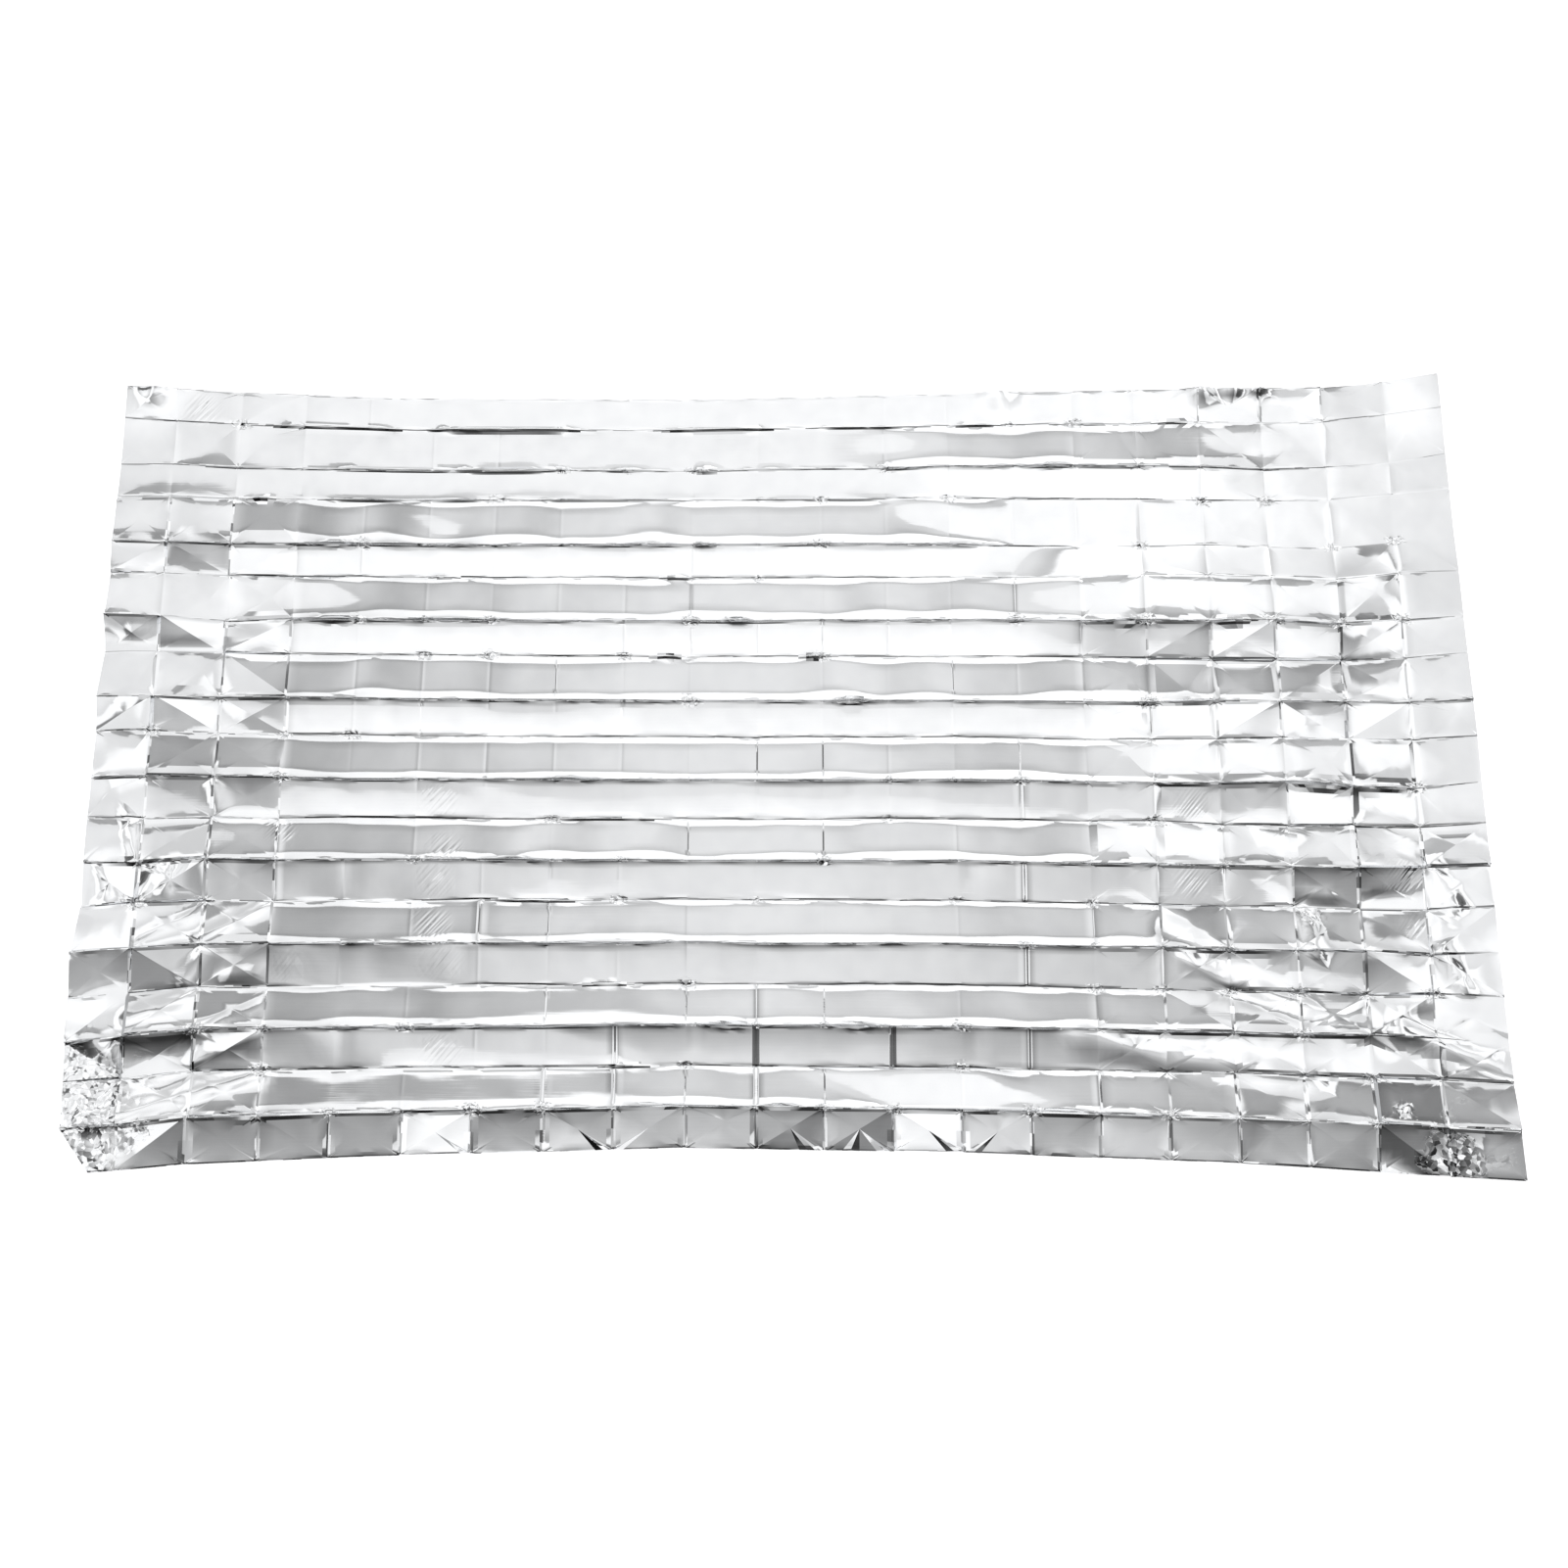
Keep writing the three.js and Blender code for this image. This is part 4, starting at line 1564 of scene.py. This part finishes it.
    def build(self) -> bpy.types.Object:
        """Makes the sheet's mesh and dresses it.

        Returns:
            The sheet's object.
        """
        calm, calm_quads = self.calm_net()
        lively, lively_quads, tips = self.lively_net()
        every = np.concatenate([calm, lively])
        quads = np.concatenate([calm_quads, lively_quads + len(calm)])
        places = np.round(every, self.weld_digits)
        _, kept, number = np.unique(places, axis=0, return_index=True, return_inverse=True)
        quads = number.ravel()[quads]
        tips = number.ravel()[tips + len(calm)]
        used = np.unique(np.concatenate([quads.ravel(), tips.ravel()]))
        kept = kept[used]
        points = every[kept]
        faces = np.searchsorted(used, quads).tolist() + np.searchsorted(used, tips).tolist()
        mesh = bpy.data.meshes.new("foil_film")
        mesh.from_pydata(points * METRE, [], faces)
        mesh.update(calc_edges=True)
        mesh.polygons.foreach_set("use_smooth", np.ones(len(mesh.polygons), dtype=bool))
        self.crease(mesh, kept >= len(calm))
        x, y, z = points.T
        z = np.maximum(z + self.loose_relief(x, y), 0.0) + self.film_lift
        laid = np.stack([x, y, z], axis=-1) * METRE
        mesh.vertices.foreach_set("co", laid.astype(np.float32).ravel())
        mesh.update()
        for name, share in (("crumple", self.crumple(x, y)), ("scuff", self.scuffed(x, y))):
            layer = mesh.attributes.new(name, "FLOAT", "POINT")
            layer.data.foreach_set("value", share.astype(np.float32))
        mesh.materials.append(self.finish.material())

        sheet = bpy.data.objects.new("foil_film", mesh)
        bpy.context.collection.objects.link(sheet)
        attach(sheet, "root")
        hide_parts("foil_sheet")
        return sheet

    def crease(self, mesh: bpy.types.Mesh, lively: np.ndarray) -> None:
        """Marks which edges are sharp creases: slight bends count in lively panels, steep ones elsewhere.

        Args:
            mesh: The sheet's mesh.
            lively: Whether each point is in a lively panel.
        """
        sharp = []
        for angle in (self.calm_crease_deg, self.lively_crease_deg):
            mesh.set_sharp_from_angle(angle=math.radians(angle))
            marks = np.zeros(len(mesh.edges), dtype=bool)
            mesh.attributes["sharp_edge"].data.foreach_get("value", marks)
            sharp.append(marks)
        ends = np.empty(2 * len(mesh.edges), dtype=np.int32)
        mesh.edges.foreach_get("vertices", ends)
        inside = lively[ends.reshape(-1, 2)].any(axis=1)
        mesh.attributes["sharp_edge"].data.foreach_set("value", np.where(inside, sharp[1], sharp[0]))


@dataclass(frozen=True)
class PaintedFloor:
    """Matt white studio floor paint: pale and even, with no gloss."""

    name: str = "matt_white_floor_paint"
    colour: str = "#F7F7F7"
    glow: float = 0.70
    roughness: float = 0.9
    grain_mm: float = 3.0
    grain_height_mm: float = 0.1
    grain_strength: float = 0.2

    def material(self) -> bpy.types.Material:
        """Builds the floor's material.

        Returns:
            The material.
        """
        paint = bpy.data.materials.new(self.name)
        tree = empty_tree(paint)
        place = add_node(tree, "ShaderNodeTexCoord").outputs["Object"]
        size = {"Scale": 1.0 / (self.grain_mm * METRE)}
        grain = add_node(tree, "ShaderNodeTexNoise", size, {"Vector": place}).outputs
        depth = {"Strength": self.grain_strength, "Distance": self.grain_height_mm * METRE}
        fine = add_node(tree, "ShaderNodeBump", depth, {"Height": grain["Fac"]}).outputs
        look = {
            "Base Color": linear_from_hex(self.colour),
            "Roughness": self.roughness,
            "Emission Color": linear_from_hex(self.colour),
            "Emission Strength": self.glow,
        }
        coat = add_node(tree, "ShaderNodeBsdfPrincipled", look, {"Normal": fine["Normal"]}).outputs
        add_node(tree, "ShaderNodeOutputMaterial", links={"Surface": coat["BSDF"]})
        return paint


@dataclass
class Studio:
    """Pale floor, soft surrounding light and the camera.

    The light's curves pair an angle from straight up, in degrees, with the sRGB grey that the film shows
    where it mirrors that way. Angles across the sheet count towards the camera, and those along it count
    to the right.
    """

    floor_half_side: float = 30000.0
    floor_drop: float = 0.2
    film_reflectance: float = 0.84
    backdrop: str = "#F7F7F7"
    camera_place: tuple[float, float, float] = (-5.6, -1295.0, 3632.0)
    camera_pitch_deg: float = 71.0
    camera_reach: float = 120000.0
    focal_px: float = 2610.0
    frame_px: float = 1601.0
    sensor_mm: float = 36.0
    lamp_across: SkyCurve = (
        (-90, 262), (-41, 266), (-40, 0), (-30.3, 0), (-29.7, 246), (-22, 254), (-18, 262), (-13, 262),
        (-9.5, 250), (-6, 237), (-4.5, 0), (90, 0),
    )
    lamp_along: SkyCurve = (
        (-90, 150), (-60, 200), (-45, 255), (-38, 255), (-28, 190), (-20, 225), (-16, 238), (-14, 245),
        (-11, 252), (-9, 255), (0, 257), (5, 260), (8, 266), (11, 266), (14, 250), (15.5, 242),
        (20, 225), (28, 190), (38, 255), (45, 255), (60, 200), (90, 150),
    )
    room_across: SkyCurve = (
        (-90, 190), (-45, 190), (-39, 206), (-34, 236), (-7, 236), (-3, 235), (1.5, 229), (5, 205),
        (10, 180), (15, 155), (25, 105), (38, 55), (52, 50), (60, 185), (90, 225),
    )
    room_along: SkyCurve = (
        (-90, 225), (-58, 200), (-48, 90), (-33, 130), (-30, 150), (-29, 282), (-20.5, 282),
        (-19.5, 165), (-16.5, 184), (-13.7, 195), (-10.3, 214), (-8.6, 226), (-6.9, 235), (-5.2, 244),
        (-3.5, 251), (0, 253), (3.4, 245), (5.1, 238), (6.8, 230), (10.2, 218), (13, 203), (16.5, 186),
        (19.5, 165), (20.5, 282), (29, 282), (30, 150), (33, 130), (48, 90), (58, 200), (90, 225),
    )

    def light(self) -> None:
        """Makes the surrounding light.

        Broad white lamps behind the sheet and above it stand in a grey room, which is darker towards the
        camera and to the left and right, and light again near the floor. The brightness of each is one
        curve of the angle across the sheet times one curve of the angle along it, and the brighter shows.
        """
        world = bpy.data.worlds.new("lamps_and_room")
        tree = empty_tree(world)
        way = add_node(tree, "ShaderNodeTexCoord").outputs["Generated"]
        parts = add_node(tree, "ShaderNodeSeparateXYZ", links={"Vector": way}).outputs
        places = []
        for axis, turn in (("Y", -1.0), ("X", 1.0)):
            sides = {0: parts[axis], 1: parts["Z"]}
            angle = add_node(tree, "ShaderNodeMath", links=sides, operation="ARCTAN2").outputs
            span = {"From Min": -turn * math.pi / 2, "From Max": turn * math.pi / 2}
            place = add_node(tree, "ShaderNodeMapRange", span, {"Value": angle["Value"]}).outputs
            places.append(place["Result"])
        lights = []
        whole = {"Factor": 1.0}
        for curves in ((self.lamp_across, self.lamp_along), (self.room_across, self.room_along)):
            greys = {}
            for socket, place, curve in zip(("A", "B"), places, curves):
                ramp = add_node(tree, "ShaderNodeValToRGB", links={"Fac": place})
                set_ramp(ramp, [(angle / 180 + 0.5, linear_light(grey / 255)) for angle, grey in curve])
                greys[socket] = ramp.outputs["Color"]
            mixed = add_node(tree, "ShaderNodeMix", whole, greys, data_type="RGBA", blend_type="MULTIPLY")
            lights.append(mixed.outputs["Result"])
        both = {"A": lights[0], "B": lights[1]}
        brighter = add_node(tree, "ShaderNodeMix", whole, both, data_type="RGBA", blend_type="LIGHTEN")
        strength = {"Strength": 1.0 / self.film_reflectance}
        colour = {"Color": brighter.outputs["Result"]}
        around = add_node(tree, "ShaderNodeBackground", strength, colour).outputs
        plain = add_node(tree, "ShaderNodeBackground", {"Color": linear_from_hex(self.backdrop)}).outputs
        seen = add_node(tree, "ShaderNodeLightPath").outputs["Is Camera Ray"]
        shown = {"Fac": seen, 1: around["Background"], 2: plain["Background"]}
        chosen = add_node(tree, "ShaderNodeMixShader", links=shown).outputs
        add_node(tree, "ShaderNodeOutputWorld", links={"Surface": chosen["Shader"]})
        bpy.context.scene.world = world

    def floor(self) -> bpy.types.Object:
        """Makes the floor, a large square just under the part.

        Returns:
            The floor's object.
        """
        half = self.floor_half_side * METRE
        low = -self.floor_drop * METRE
        corners = [(-half, -half, low), (half, -half, low), (half, half, low), (-half, half, low)]
        mesh = bpy.data.meshes.new("studio_floor")
        mesh.from_pydata(corners, [], [(0, 1, 2, 3)])
        mesh.materials.append(PaintedFloor().material())
        ground = bpy.data.objects.new("studio_floor", mesh)
        bpy.context.collection.objects.link(ground)
        return ground

    def camera(self) -> bpy.types.Object:
        """Sets the camera where the photograph was taken from.

        Returns:
            The camera's object.
        """
        lens = bpy.data.cameras.new("camera")
        lens.sensor_width = self.sensor_mm
        lens.lens = self.sensor_mm * self.focal_px / self.frame_px
        lens.clip_end = self.camera_reach * METRE
        eye = bpy.data.objects.new("camera", lens)
        eye.location = [place * METRE for place in self.camera_place]
        eye.rotation_euler = (math.radians(90.0 - self.camera_pitch_deg), 0.0, 0.0)
        bpy.context.collection.objects.link(eye)
        bpy.context.scene.camera = eye
        return eye


def main() -> None:
    """Builds the sheet, the floor, the light and the camera."""
    logging.basicConfig(level=logging.INFO, format="%(name)s: %(message)s")
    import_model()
    sheet = FoilSheet().build()
    LOG.info("%s: %d faces", sheet.name, len(sheet.data.polygons))
    studio = Studio()
    studio.light()
    LOG.info("%s on the floor", studio.floor().name)
    LOG.info("%s set", studio.camera().name)
    bpy.context.scene.view_settings.view_transform = "Standard"


if __name__ == "__main__":
    main()
